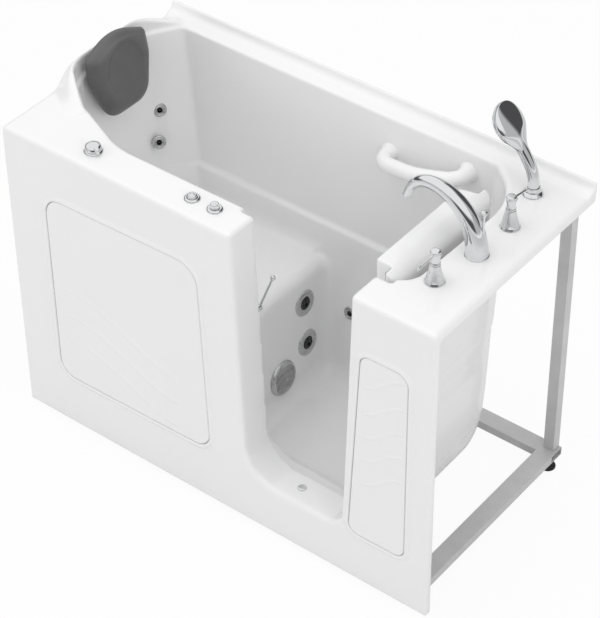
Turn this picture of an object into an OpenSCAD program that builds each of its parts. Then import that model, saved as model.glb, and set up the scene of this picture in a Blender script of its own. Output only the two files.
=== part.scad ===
// Walk-in bathtub with an inward swinging door, massage jets and a deck mounted filler.
// Millimetres. X runs along the bath, -Y is the front with the door, +Z is up.
// Depths are measured inwards from the front face, heights from the floor.

/* [Bath shell] */
// Length of the bath
bath_l = 1346; // [1250:1:1500]
// Depth of the bath, front face to back flange
bath_d = 676; // [640:1:760]
// Height of the deck above the floor
deck_z = 943; // [900:1:1000]
// Wall of the moulded shell
shell_t = 8; // [6:0.5:10]
// Height of the turned-down edge round the deck
lip_h = 22; // [16:1:30]
// Radius of the deck's edge
edge_r = 10; // [5:1:12]
// Height of the back upstand above the deck
upstand_h = 32; // [20:1:50]
// Depth of the back upstand
upstand_w = 31; // [26:1:40]
// Deck width in front of the well
front_rim_w = 112; // [104:1:125]
// Deck width behind the well
back_rim_w = 54; // [48:1:70]
// Deck width at the tap end
tap_rim_w = 151; // [145:1:190]
// Deck width at the head end
head_rim_w = 18; // [14:1:40]
// Rise of the rim behind the headrest
head_rise = 52; // [20:1:70]
// Height of the seat
seat_z = 430; // [400:1:460]
// Length of the seat side, head end of the bath to the seat's front edge
seat_l = 581; // [540:1:620]
// Height of the footwell floor
floor_z = 80; // [74:1:100]
// Height of the armrest ledge in the back wall
ledge_z = 524; // [500:1:560]
// Width of the armrest ledge
ledge_w = 13; // [8:1:20]

/* [Skirt and access panels] */
// Gap between the skirt and the floor
skirt_gap = 10; // [5:1:25]
// Wall of the skirt
skirt_t = 6; // [4:0.5:8]
// Depth of the skirt's end return
return_d = 20; // [14:1:30]
// Width of the raised bead round each access panel
bead_w = 15; // [10:1:18]
// Height of the raised bead
bead_h = 4; // [2:0.5:5]
// Gap round each access panel
panel_gap = 2; // [1:0.5:4]
// Thickness of the access panels
panel_t = 6; // [4:0.5:7]
// Length of the large access panel
big_panel_l = 500; // [420:1:520]
// Height of the access panels
panel_h = 602; // [500:1:640]
// Height of the access panels' lower edge
panel_z = 182; // [150:1:200]
// Top width of the small access panel
small_panel_top = 138; // [120:1:150]
// Bottom width of the small access panel
small_panel_bottom = 172; // [160:1:180]
// Height of the wave relief on the panels
wave_h = 1.6; // [0.6:0.2:3]

/* [Door] */
// Tap end of the bath to the opening's edge at the deck
door_from_end = 243; // [235:1:260]
// Width of the opening at the deck
door_w = 361; // [340:1:380]
// Height of the step-over sill
sill_z = 165; // [150:1:180]
// Depth of the seal face behind the front
seal_face_d = 96; // [90:1:100]
// Gap between the seal face and the door flange
seal_gap = 2.5; // [1.5:0.5:4]
// Depth of the door's outer face behind the front
door_recess = 50; // [30:1:60]
// Thickness of the door's inner skin
door_skin_t = 32; // [26:1:36]
// Overlap of the door's flange on the latch side
flange_lap = 24; // [16:1:28]
// Overlap of the door's flange under the sill
flange_drop = 30; // [15:1:40]
// Clearance between door and opening
door_clear = 3; // [2:0.5:6]
// Angle the door stands open at
door_open = 90; // [0:1:90]
// Number of hinges
hinge_n = 3; // [2:1:4]
// Radius of the hinge pins
hinge_pin_r = 3; // [2.5:0.5:4]
// Radius of the hinge barrels
hinge_r = 6.5; // [5.5:0.5:7]
// Height of each hinge
hinge_h = 60; // [48:1:80]
// Running clearance of pins and shafts
run_clear = 0.05; // [0.02:0.01:0.1]
// Height of the latch above the floor
latch_z = 607; // [560:1:680]
// Length of the latch lever
lever_l = 84; // [60:1:110]

/* [Taps and controls] */
// Radius of the filler spout's foot
spout_r = 29; // [24:1:32]
// Height of the filler spout above the deck
spout_h = 160; // [120:1:200]
// Reach of the filler spout
spout_reach = 204; // [150:1:230]
// Radius of the tap handles' feet
handle_r = 26; // [20:1:30]
// Height of the tap handles
handle_h = 92; // [80:1:110]
// Length of the tap levers
tap_lever_l = 62; // [45:1:75]
// Radius of the shower's deck flange
shower_r = 27; // [22:1:30]
// Diameter of the shower head
shower_head = 100; // [80:1:115]
// Radius of the large control knob
dial_r = 25; // [20:1:28]
// Radius of the small controls
button_r = 21; // [16:1:22]

/* [Jets and drains] */
// Radius of the large jets
jet_r = 39; // [36:1:46]
// Radius of the small jets
small_jet_r = 20; // [17:1:26]
// Radius of the suction cover
suction_r = 52; // [48:1:60]
// Radius of the jet bodies behind the wall
jet_body_r = 24; // [20:1:28]
// Radius of the floor drain
drain_r = 42; // [36:1:46]
// Outer radius of the waste pipe
waste_r = 20; // [18:1:24]

/* [Grab bar and headrest] */
// Diameter of the grab bar
bar_dia = 41; // [28:1:46]
// Distance between the grab bar's ends
bar_l = 246; // [220:1:320]
// Projection of the grab bar
bar_out = 76; // [60:1:95]
// Width of the headrest
rest_w = 224; // [180:1:260]
// Height of the headrest
rest_h = 236; // [180:1:250]
// Thickness of the headrest
rest_t = 44; // [30:1:50]

/* [Frame] */
// Width of the base rails
rail_w = 50; // [40:1:60]
// Height of the base rails
rail_h = 25; // [20:1:40]
// Underside of the base rails above the floor
rail_z = 40; // [36:1:50]
// Inset of the frame from the bath's ends
frame_inset = 36; // [30:1:60]
// Width of the posts along the bath
post_w = 32; // [25:1:40]
// Depth of the posts
post_d = 28; // [25:1:40]
// Wall of the steel tube
tube_t = 2; // [1.5:0.5:3]
// Radius of the levelling feet
foot_r = 22; // [18:1:24]
// Radius of the foot studs
stud_r = 6; // [5:0.5:8]

/* [Hidden] */

front_y = (bead_h - bath_d) / 2;         // the front face, so that the box is centred on Y
x_head = -bath_l / 2;
x_tap = bath_l / 2;
arc_n = 6;                               // segments in a filleted corner
fine = 64;
mid_d = (front_rim_w + bath_d - back_rim_w) / 2;

// ---------------------------------------------------------------- helpers
module from_front() { translate([0, front_y, 0]) children(); }
module along_y(d0, d1) { translate([0, d1, 0]) rotate([90, 0, 0]) linear_extrude(d1 - d0) children(); }
module along_x(x0, x1) { translate([x0, 0, 0]) rotate([90, 0, 90]) linear_extrude(x1 - x0) children(); }
module upright(p, h, r, fn = fine) { translate(p) cylinder(h = h, r = r, $fn = fn); }
module block(p, q) { translate(p) cube(q - p); }

function lerp(a, b, t) = a + (b - a) * t;
function unit(v) = v / norm(v);
function left(v) = [-v[1], v[0]];
function cross2(a, b) = a[0] * b[1] - a[1] * b[0];
function xy(v) = [v[0], v[1]];
function smooth(t) = let(u = min(1, max(0, t))) u * u * (3 - 2 * u);
function wrap(i, n) = (i + n) % n;

// Corners are [x, y, radius], counter-clockwise. Moves each side outwards by e.
function grown(c, e) = [for (i = [0:len(c) - 1])
  let (v = xy(c[i]), a = unit(v - xy(c[wrap(i - 1, len(c))])), b = unit(xy(c[wrap(i + 1, len(c))]) - v),
       na = left(a), nb = left(b), w = v - (na + nb) * e / (1 + na * nb))
  [w[0], w[1], max(0.4, c[i][2] + e * sign(cross2(a, b)))]];

// The arc that rounds corner v between its neighbours p and q.
function corner_arc(p, v, q, r, n) =
  let (a = unit(v - p), b = unit(q - v), turn = acos(max(-1, min(1, a * b))), s = sign(cross2(a, b)),
       back = r * tan(turn / 2), c = v - a * back + left(a) * r * s, start = -left(a) * s)
  [for (k = [0:n]) let (t = s * turn * k / n)
    c + r * [start[0] * cos(t) - start[1] * sin(t), start[0] * sin(t) + start[1] * cos(t)]];

function rounded(c, n = arc_n) = [for (i = [0:len(c) - 1])
  each corner_arc(xy(c[wrap(i - 1, len(c))]), xy(c[i]), xy(c[wrap(i + 1, len(c))]), c[i][2], n)];

function mixed(a, b, t) = [for (i = [0:len(a) - 1]) lerp(a[i], b[i], t)];
function at_z(outline, z) = [for (p = outline) [p[0], p[1], z]];

// Closed solid through rings of equal length, lowest ring first.
module loft(rings) {
  n = len(rings[0]);
  m = len(rings);
  polyhedron(
    points = [for (r = rings) each r],
    faces = concat(
      [[for (i = [0:n - 1]) i]],
      [[for (i = [0:n - 1]) m * n - 1 - i]],
      [for (k = [0:m - 2]) for (i = [0:n - 1]) each
        let (a = k * n + i, b = k * n + (i + 1) % n)
        [[a, a + n, b + n], [a, b + n, b]]]));
}

// Tube of elliptic section through centres, all in the plane of X and Z.
// wide is the half width along Y, thick the half width in the plane.
module flat_sweep(centres, wide, thick, n = 20) {
  m = len(centres);
  loft([for (k = [0:m - 1])
    let (t = unit(centres[min(k + 1, m - 1)] - centres[max(k - 1, 0)]), u = [t[2], 0, -t[0]])
    [for (i = [0:n - 1]) let (a = 360 * i / n)
      centres[k] + [0, 1, 0] * wide[k] * sin(a) + u * thick[k] * cos(a)]]);
}

function bezier(p, t) = p[0] * pow(1 - t, 3) + 3 * p[1] * t * pow(1 - t, 2)
  + 3 * p[2] * t * t * (1 - t) + p[3] * pow(t, 3);

// ---------------------------------------------------------------- shape of the well
seat_x = x_head + seat_l;                 // the seat's front edge
tap_x = x_tap - tap_rim_w;                // the tap end of the well at the rim
rest_x = x_head + head_rim_w;             // the head end of the well at the rim
back_d = bath_d - back_rim_w;
// The open door's edge reaches door_reach into the well, and the well's corner stands clear of it.
door_reach = seal_face_d + door_w + flange_lap + 45;
tap_corner_d = door_reach + 14;
tap_corner_k = 120 / 82;                   // that corner's radius over the room behind it
function tap_corner_r(d, back) = tap_corner_k * (back - d);

// Plan corners of the well, from the tap end's front corner round by the back.
rim_c = [[tap_x - 10, front_rim_w + 2, 60],
  [tap_x, tap_corner_d, 1.58 * tap_corner_r(tap_corner_d, back_d)],
  [tap_x - 107, back_d, 4],
  [rest_x + 63, back_d, 16], [rest_x, mid_d + 165, 120], [rest_x, mid_d - 105, 90],
  [rest_x + 95, front_rim_w + 78, 240], [rest_x + 275, front_rim_w, 240]];
above_ledge_c = [[tap_x - 24, front_rim_w + 18, 60],
  [tap_x - 26, tap_corner_d - 15, tap_corner_r(tap_corner_d - 15, back_d - 18)],
  [tap_x - 120, back_d - 18, 6], [rest_x + 115, back_d - 18, 16], [rest_x + 42, mid_d + 150, 120],
  [rest_x + 42, mid_d - 95, 90], [rest_x + 130, front_rim_w + 78, 160],
  [rest_x + 275, front_rim_w + 18, 200]];
below_ledge_c = [for (i = [0:7]) above_ledge_c[i]
  - ((i == 2 || i == 3) ? [0, ledge_w, 0] : [0, 0, 0])];
seat_c = [[tap_x - 28, front_rim_w + 22, 60],
  [tap_x - 32, tap_corner_d - 16, tap_corner_r(tap_corner_d - 16, back_d - 36)],
  [tap_x - 124, back_d - 36, 8], [rest_x + 130, back_d - 36, 18], [rest_x + 62, mid_d + 140, 115],
  [rest_x + 62, mid_d - 90, 90], [rest_x + 150, front_rim_w + 80, 150],
  [rest_x + 275, front_rim_w + 22, 180]];

ledge_step = 10;
function well_c(z) =
  z >= ledge_z + ledge_step
    ? mixed(above_ledge_c, rim_c, (z - ledge_z - ledge_step) / (deck_z - ledge_z - ledge_step))
  : z >= ledge_z ? mixed(below_ledge_c, above_ledge_c, (z - ledge_z) / ledge_step)
  : mixed(seat_c, below_ledge_c, (z - seat_z) / (ledge_z - seat_z));

// Height of the rim above the deck, high behind the headrest.
rise_start = rest_x + 150;
function rise(x, d) = head_rise * smooth((rise_start - x) / 130)
  * (0.35 + 0.65 * smooth((back_d - 12 - d) / 120)) * smooth((back_d + 4 - d) / 16);

flare_r = 9;                              // rounding of the rim into the wall
seat_fillet = 36;

function well_ring(z, e) = at_z(rounded(grown(well_c(z), e)), z);
// The same ring, set a height above or below the rim's own height.
function rim_ring(dz, e) = [for (p = rounded(grown(well_c(deck_z), e)))
  [p[0], p[1], deck_z + rise(p[0], p[1]) + dz]];

// Space above the seat. grow is 0 for the inside and the wall thickness for the outside.
module upper_well(grow) {
  turns = [0, 30, 60, 90];
  loft(concat(
    [for (a = turns) well_ring(seat_z - grow + (seat_fillet + grow) * (1 - cos(a)),
      grow - (seat_fillet + grow) * (1 - sin(a)))],
    [for (z = [ledge_z, ledge_z + ledge_step, 610, 700, 790, 870]) well_ring(z, grow)],
    grow > 0 ? [well_ring(deck_z - 1, grow)]
      : [rim_ring(-2 * flare_r, 0), rim_ring(-flare_r * 0.5, flare_r * 0.14),
         rim_ring(-flare_r * 0.13, flare_r * 0.5), rim_ring(0.01, flare_r),
         at_z(rounded(grown(rim_c, flare_r)), deck_z + head_rise + 40)]));
}

// Plan corners of the footwell at the seat's height and at its floor.
// Above the seat the footwell follows the upper well, so that their walls are one.
function foot_over(z) = let (c = well_c(z))
  [c[0], c[1], c[2], [seat_x + 4, c[2][1], 26], [seat_x - 4, c[0][1], 30]];
foot_top_c = foot_over(seat_z);
foot_low_c = [[tap_x - 88, front_rim_w + 30, 46], [tap_x - 92, back_d - 117, 90],
  [tap_x - 160, back_d - 84, 40], [seat_x + 36, back_d - 84, 44], [seat_x + 36, front_rim_w + 52, 44]];
function foot_c(z) = let (t = max(0, (seat_z - z) / (seat_z - floor_z)))
  [for (i = [0:4]) let (a = foot_top_c[i], b = foot_low_c[i], u = i < 3 ? pow(t, 5) : t)
    [lerp(a[0], b[0], u), lerp(a[1], b[1], i == 2 ? t : u), lerp(a[2], b[2], u)]];
floor_fillet = 46;
edge_roll = 34;                           // rounding of the seat's front edge

module foot_well(grow) {
  turns = [0, 22.5, 45, 67.5, 90];
  loft(concat(
    [for (a = turns) let (z = floor_z - grow + (floor_fillet + grow) * (1 - cos(a)))
      at_z(rounded(grown(foot_c(z), grow - (floor_fillet + grow) * (1 - sin(a)))), z)],
    [for (z = [170, 220, 290, 350]) at_z(rounded(grown(foot_c(z), grow)), z)],
    grow > 0 ? concat(
        [for (a = [0, 30, 60]) let (z = seat_z - edge_roll * (1 - sin(a)), roll = edge_roll * (1 - cos(a)))
          at_z(rounded(grown(rolled(foot_c(z), roll), grow)), z - grow * 0.6)],
        [at_z(rounded(grown(rolled(foot_c(seat_z), edge_roll), grow)), seat_z - grow * 0.5),
         foot_over_ring(seat_z + seat_fillet + 6, grow + 0.15)])
      : concat(
        [for (a = [0, 30, 60, 90])
          let (z = seat_z - edge_roll * (1 - sin(a)), roll = edge_roll * (1 - cos(a)))
          at_z(rounded(grown(rolled(foot_c(min(z, seat_z)), roll), 0)), z)],
        [foot_over_ring(seat_z + seat_fillet + 4, 0.15)])));
}
function foot_over_ring(z, e) = at_z(rounded(grown(rolled(foot_over(z), edge_roll), e)), z);
// Only the seat side of the footwell rolls over into the seat.
function rolled(c, e) = [for (i = [0:4]) c[i] - (i >= 3 ? [e, 0, 0] : [0, 0, 0])];

// ---------------------------------------------------------------- the door opening
open_right = x_tap - door_from_end;
open_left = open_right - door_w;
draft_right = 26;                          // how far the right edge leans in at the sill
draft_left = 30;
open_top = deck_z + 60;
opening_c = [[open_left + draft_left, sill_z, 105], [open_right - draft_right, sill_z, 50],
  [open_right + 3, open_top, 1], [open_left - 3, open_top, 1]];
// The recess that takes the door's flange, open at the top.
recess_left = open_left - flange_lap - 18;
hinge_x = open_right + 29;                 // the hinge axis
hinge_d = seal_face_d + 18;
recess_right = hinge_x + 20;
recess_c = [[recess_left, sill_z - flange_drop - 6, 120], [recess_right, sill_z - flange_drop - 6, 60],
  [recess_right, open_top, 1], [recess_left, open_top, 1]];
recess_deep = 74;                          // reach of the recess behind the seal face

module opening(e = 0) { polygon(rounded(grown(opening_c, e), 10)); }
module recess(e = 0) { polygon(rounded(grown(recess_c, e), 10)); }

// ---------------------------------------------------------------- shell
hinge_low = 290;
function hinge_z(i) = hinge_low + i * (720 - hinge_low) / (hinge_n - 1);

// Taps and controls on the deck, [x, depth].
spout_at = [tap_x + 54, mid_d - 65];
hot_at = [tap_x + 32, front_rim_w + 50];
cold_at = [tap_x + 57, mid_d + 70];
shower_at = [tap_x + 29, back_d - 44];
dial_at = [x_head + 257, front_rim_w - 51];
button_at = [x_head + 577, front_rim_w - 50];
air_at = [x_head + 648, front_rim_w - 50];
shank_r = 14;                              // shanks through the deck
shank_clear = 0.5;

// Jets, [x, depth, height]. The seat's front face leans a little.
// Where the leaning front face of the seat lies.
function seat_face(d, z) = [lerp(seat_x + lerp(-4, 4, (d - 134) / 452), seat_x + 36,
  (seat_z - z) / (seat_z - floor_z)), d, z];
seat_lean = atan2(36, seat_z - floor_z);
function foot_back(x, z) = [x, lerp(back_d - 36, back_d - 84, (seat_z - z) / (seat_z - floor_z)), z];
back_lean = atan2(48, seat_z - floor_z);
seat_jets_at = [seat_face(mid_d + 113, seat_z - 95), seat_face(mid_d + 107, seat_z - 225)];
suction_at = seat_face(mid_d - 8, floor_z + 79);
back_jet_at = foot_back(seat_x + 101, seat_z - 144);
lumbar_at = [[x_head + 55, mid_d + 168, seat_z + 280], [x_head + 71, mid_d + 141, seat_z + 194]];
drain_at = [tap_x - 240, mid_d - 37];
sill_drain_at = [open_left + 172, seal_face_d - 44];
overflow_at = [tap_x - 3.2, mid_d + 88, deck_z - 48];

// Holes through the shell for the fittings.
module shell_holes() {
  for (p = [spout_at, hot_at, cold_at, shower_at, dial_at, button_at, air_at])
    upright([p[0], p[1], deck_z - 40], 90, shank_r + shank_clear);
  for (i = [0:1]) at_jet(i) seat_cut(jet_body_r, jet_r);
  at_jet(2) seat_cut(small_body_r, back_jet_r);
  at_suction() seat_cut(jet_body_r, suction_r);
  at_lumbar_jets() seat_cut(small_body_r, small_jet_r);
  upright([drain_at[0], drain_at[1], floor_z - 40], 80, 26);
  upright([sill_drain_at[0], sill_drain_at[1], sill_z - 20], 40, 8 + shank_clear);
  at_overflow() seat_cut(overflow_body_r, overflow_r);
  for (s = [-1, 1]) at_headrest() translate([1, s * 50, 20]) rotate([0, -90, 0])
    cylinder(h = 60, r = 4 + shank_clear, $fn = fine);
  for (s = [-1, 1]) translate(bar_mid + [s * bar_l / 2 * cos(bar_tilt), 0, s * bar_l / 2 * sin(bar_tilt)])
    rotate([-90, 0, 0]) translate([0, 0, -20]) cylinder(h = 60, r = 5.5, $fn = fine);
}

// A hole through the wall with a flat seat for the flange, cut a little into the wall.
module seat_cut(body_r, flange_r) {
  translate([0, 0, -40]) cylinder(h = 60, r = body_r + shank_clear, $fn = fine);
  cylinder(h = 40, r = flange_r + shank_clear, $fn = fine);
}

// Axis of a lumbar jet: out of the curved back rest, towards the bather.
lumbar_turn = -38;
lumbar_lean = 72;
module lumbar_frame(p) { translate(p) rotate([0, 0, lumbar_turn]) rotate([0, lumbar_lean, 0]) children(); }

deck_c = [[x_tap, 0, 3], [x_tap, bath_d, 3], [x_head, bath_d, 3], [x_head, 0, 3]];
function deck_ring(z, e) = at_z(rounded(grown(deck_c, e), 3), z);

module deck_slab() {
  loft([deck_ring(deck_z - lip_h, 0), deck_ring(deck_z - edge_r, 0),
    deck_ring(deck_z - edge_r * 0.5, -edge_r * 0.13), deck_ring(deck_z - edge_r * 0.13, -edge_r * 0.5),
    deck_ring(deck_z, -edge_r)]);
}

// Back upstand: a small step, a hollow and a lip along the whole back.
module upstand() {
  w = bath_d - upstand_w;
  along_x(x_head, x_tap) polygon(concat(
    [[w - 8, deck_z - shell_t / 2], [w, deck_z - 0.5], [w + 2, deck_z + 4], [w + 6, deck_z + 6]],
    [for (a = [0:15:90]) [w + 6 + (upstand_w - 14) * sin(a),
      deck_z + 6 + (upstand_h - 9) * (1 - cos(a))]],
    [[bath_d - 7, deck_z + upstand_h - 1], [bath_d - 5, deck_z + upstand_h],
     [bath_d, deck_z + upstand_h], [bath_d, deck_z - shell_t / 2]]));
}

// Smooth ridge of the raised rim round the head end.
module head_ridge() {
  ridge_back = bath_d - upstand_w + 3;
  base = deck_z - 5;
  spread = [flare_r - 3, flare_r + 1.4, 17, 28, 42, 58, 74];
  lift = [0, 1, 1.02, 0.86, 0.5, 0.15, 0];
  n = len(spread);
  grown_paths = [for (e = spread) rounded(grown(rim_c, e))];
  whole = rounded(rim_c);
  keep = [for (i = [0:len(whole) - 1]) if (whole[i][0] < rise_start + 40) i];
  rings = [for (i = keep) concat(
    [for (k = [0:n - 1]) let (q = grown_paths[k][i], h = rise(whole[i][0], whole[i][1]))
      [max(q[0], x_head + 3), min(q[1], ridge_back),
       k == 0 ? base : max(base, deck_z - 3 + (h + 3) * lift[k])]],
    [let (q = grown_paths[n - 1][i]) [max(q[0], x_head + 3), min(q[1], ridge_back), base - 1],
     let (q = grown_paths[0][i]) [q[0], q[1], base - 1]])];
  loft(rings);
}

module bath_shell() {
  color("white") from_front() difference() {
    union() {
      difference() {
        deck_slab();
        translate([0, 0, -shell_t]) difference() {
          block([x_head + shell_t, shell_t, deck_z - 60], [x_tap - shell_t, bath_d - shell_t, deck_z]);
        }
      }
      upstand();
      head_ridge();
      upper_well(shell_t);
      foot_well(shell_t);
      along_y(skirt_t, seal_face_d) intersection() {
        opening(shell_t);
        translate([-bath_l, 0]) square([2 * bath_l, deck_z - shell_t / 2]);
      }
      along_y(seal_face_d - shell_t, seal_face_d + recess_deep) intersection() {
        recess(shell_t);
        translate([-bath_l, 0]) square([2 * bath_l, deck_z - shell_t / 2]);
      }
    }
    upper_well(0);
    foot_well(0);
    along_y(-1, seal_face_d + 1) opening();
    along_y(seal_face_d, seal_face_d + recess_deep + 1) recess();
    shell_holes();
  }
}

// ---------------------------------------------------------------- skirt and panels
skirt_top = deck_z - lip_h;
big_c = [[x_head + 134, panel_z, 52], [x_head + 134 + big_panel_l + 20, panel_z + 8, 52],
  [x_head + 134 + big_panel_l - 2, panel_z + panel_h + 8, 62], [x_head + 132, panel_z + panel_h - 4, 55]];
small_right = x_tap - 72;
small_c = [[small_right - small_panel_bottom, panel_z - 8, 30], [small_right, panel_z - 6, 30],
  [small_right, panel_z + panel_h - 2, 36], [small_right - small_panel_top, panel_z + panel_h - 4, 30]];

module bead(c) {
  hull() {
    along_y(0, 1) polygon(rounded(grown(c, bead_w + panel_gap)));
    along_y(-bead_h, 0) polygon(rounded(grown(c, bead_w * 0.25 + panel_gap)));
    along_y(-bead_h * 0.8, 0) polygon(rounded(grown(c, bead_w * 0.55 + panel_gap)));
  }
}

module front_skirt() {
  color("white") from_front() difference() {
    union() {
      block([x_head, 0, skirt_gap], [x_tap, skirt_t, skirt_top]);
      for (s = [x_head, x_tap - skirt_t])
        block([s, 0, skirt_gap], [s + skirt_t, return_d, skirt_top]);
      bead(big_c);
      bead(small_c);
      for (c = [big_c, small_c]) along_y(skirt_t - 1, panel_seat_d + 3) polygon(rounded(grown(c, 12)));
    }
    for (c = [big_c, small_c]) {
      along_y(-bead_h - 1, panel_seat_d) polygon(rounded(grown(c, panel_gap)));
      along_y(-bead_h - 1, panel_seat_d + 4) polygon(rounded(grown(c, -14)));
    }
    along_y(-1, skirt_t + 1) opening(0.01);
  }
}

panel_face_d = -bead_h * 0.55;             // the panels stand a little proud of the skirt
panel_seat_d = panel_face_d + panel_t;     // the ledge the panels lie against

// A raised wave from x0 to x1 about height z, drawn as a thin lens on the panel.
module wave(x0, x1, z, swing, phase = 0) {
  pts = [for (i = [0:16]) let (t = i / 16)
    [lerp(x0, x1, t), z + swing * cos(180 * t - phase), 1.5 + 3.5 * sin(180 * t)]];
  along_y(panel_face_d - wave_h, panel_face_d + 0.5) polygon(concat(
    [for (q = pts) [q[0], q[1] - q[2] / 2]],
    [for (i = [16:-1:0]) [pts[i][0], pts[i][1] + pts[i][2] / 2]]));
}

module large_access_panel() {
  color("white") from_front() {
    along_y(panel_face_d, panel_seat_d - 0.3) polygon(rounded(big_c));
    for (z = [254, 168, 86]) wave(x_head + 173, x_head + 48 + big_panel_l, panel_z + z, 57, 14);
  }
}

module small_access_panel() {
  color("white") from_front() {
    along_y(panel_face_d, panel_seat_d - 0.3) polygon(rounded(small_c));
    for (z = [537, 453, 374, 296, 216])
      wave(small_right - small_panel_top + 9, small_right - 13, panel_z + z, -34);
  }
}

// Spring catches behind the panels: a stud on the panel's back in a socket block.
module panel_catches() {
  color("gray") from_front()
    for (p = catch_spots()) translate([p[0], 0, p[1]]) along_y(panel_seat_d, panel_seat_d + 16)
      translate([-10, -10]) square(20);
}
function catch_spots() = [for (c = [big_c, small_c]) for (i = [0:3])
  xy(c[i]) + [i == 0 || i == 3 ? catch_in : -catch_in, i < 2 ? catch_in : -catch_in]];
catch_in = 44;

// ---------------------------------------------------------------- door
module hung() {
  translate([hinge_x, hinge_d, 0]) rotate([0, 0, -door_open]) translate([-hinge_x, -hinge_d, 0]) children();
}
flange_d = seal_face_d + seal_gap;
door_in_d = flange_d + door_skin_t;        // the door's inner face when shut
door_top = deck_z;
flange_left = open_left - flange_lap + 2;
flange_right = hinge_x - 2.5;
plug_c = [[open_left + draft_left + door_clear + 12, sill_z + door_clear + 1, 100],
  [open_right - draft_right - door_clear, sill_z + door_clear + 1, 46],
  [open_right - door_clear, door_top, 1], [open_left + door_clear + 12, door_top, 1]];
plug_back_c = [for (i = [0:3]) plug_c[i] - (i == 0 || i == 3 ? [11, 0, 0] : [0, 0, 0])];
flange_c = [[flange_left, sill_z - flange_drop, 115], [flange_right, sill_z - flange_drop, 60],
  [flange_right, door_top, 1], [flange_left, door_top, 1]];
inner_c = [[flange_left + 26, sill_z + 190, 100], [flange_right - 16, sill_z + 190, 50],
  [flange_right - 16, door_top + 1, 1], [flange_left + 26, door_top + 1, 1]];
top_round = 44;

function at_d(outline, d) = [for (p = outline) [p[0], d, p[1]]];
// Rings in the plane of X and Z, laid one behind another.
module loft_y(rings) { loft([for (i = [len(rings) - 1:-1:0]) rings[i]]); }

// Everything under the rounded inner top edge of the door.
module under_door_top() {
  along_x(open_left - 200, open_right + 200) polygon(concat(
    [[0, 0], [door_in_d + 20, 0]],
    [[door_in_d + 20, door_top - top_round]],
    [for (a = [0:9:90])
      [door_in_d - top_round + top_round * cos(a), door_top - top_round + top_round * sin(a)]],
    [[0, door_top]]));
}

module door_outer_shell() {
  color("white") from_front() hung() difference() {
    intersection() {
      loft_y([at_d(rounded(grown(plug_c, -3)), door_recess), at_d(rounded(plug_c), door_recess + 3),
        at_d(rounded(plug_back_c), flange_d)]);
      under_door_top();
    }
    along_y(door_recess + shell_t, flange_d + 1) polygon(rounded(grown(plug_c, -shell_t - 1), 4));
  }
}

module door_inner_shell() {
  color("white") from_front() hung() difference() {
    intersection() {
      loft_y(concat([at_d(rounded(grown(flange_c, -2)), flange_d), at_d(rounded(flange_c), flange_d + 2)],
        [for (a = [0:15:90]) at_d(rounded(mixed(flange_c, inner_c, 1 - cos(a))),
          flange_d + 8 + (door_skin_t - 8) * sin(a))]));
      under_door_top();
    }
    along_y(flange_d - 1, door_in_d - 12)
      polygon(rounded([inner_c[0] + [10, -60, -40], inner_c[1] + [-12, -60, 0],
        [inner_c[2][0] - 12, door_top - 60, 20], [inner_c[3][0] + 10, door_top - 60, 20]], 4));
    for (i = [0:hinge_n - 1])
      block([hinge_x - hinge_pocket, flange_d - 1, hinge_z(i) - hinge_h / 2 - 3],
        [hinge_x + 20, door_in_d + 1, hinge_z(i) + hinge_h / 2 + 3]);
    door_strike_cut();
  }
}
hinge_pocket = 12;

// The same outline with its top edge lifted clear, to cut a U.
function open_topped(c) = [for (i = [0:3]) c[i] + (i < 2 ? [0, 0, 0] : [0, 60, 0])];
module door_seal() {
  color("gainsboro") from_front() hung() along_y(seal_face_d + 0.3, flange_d) intersection() {
    difference() {
      polygon(rounded(grown(flange_c, -3)));
      polygon(rounded(open_topped(grown(flange_c, -13))));
    }
    translate([-bath_l, 0]) square([2 * bath_l, door_top - 4]);
  }
}

knuckle_gap = 0.5;
module knuckle(z, h) {
  difference() {
    upright([hinge_x, hinge_d, z], h, hinge_r);
    upright([hinge_x, hinge_d, z - 1], h + 2, hinge_pin_r + run_clear);
  }
}
module hinge_frame_leaves() {
  third = hinge_h / 3;
  color("silver") from_front() for (i = [0:hinge_n - 1]) {
    z0 = hinge_z(i) - hinge_h / 2;
    for (z = [z0, z0 + 2 * third]) {
      knuckle(z, third);
      block([hinge_x + hinge_r - 1.5, hinge_d - 3, z], [recess_right, hinge_d + 1, z + third]);
    }
    block([recess_right - 4, seal_face_d, z0], [recess_right, hinge_d + 1, z0 + hinge_h]);
  }
}
module hinge_door_leaves() {
  third = hinge_h / 3;
  color("silver") from_front() hung() for (i = [0:hinge_n - 1]) {
    z0 = hinge_z(i) - hinge_h / 2;
    knuckle(z0 + third + knuckle_gap, third - 2 * knuckle_gap);
    block([hinge_x - hinge_pocket, hinge_d - 3, z0 + third + knuckle_gap],
      [hinge_x - hinge_r + 1.5, hinge_d + 1, z0 + 2 * third - knuckle_gap]);
    block([hinge_x - hinge_pocket, flange_d + 2, z0],
      [hinge_x - hinge_pocket + 3, door_in_d - 6, z0 + hinge_h]);
  }
}
module hinge_pins() {
  color("silver") from_front() for (i = [0:hinge_n - 1]) {
    upright([hinge_x, hinge_d, hinge_z(i) - hinge_h / 2], hinge_h, hinge_pin_r);
    for (z = [hinge_z(i) - hinge_h / 2 - 2, hinge_z(i) + hinge_h / 2])
      upright([hinge_x, hinge_d, z], 2, hinge_r - 1);
  }
}

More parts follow.
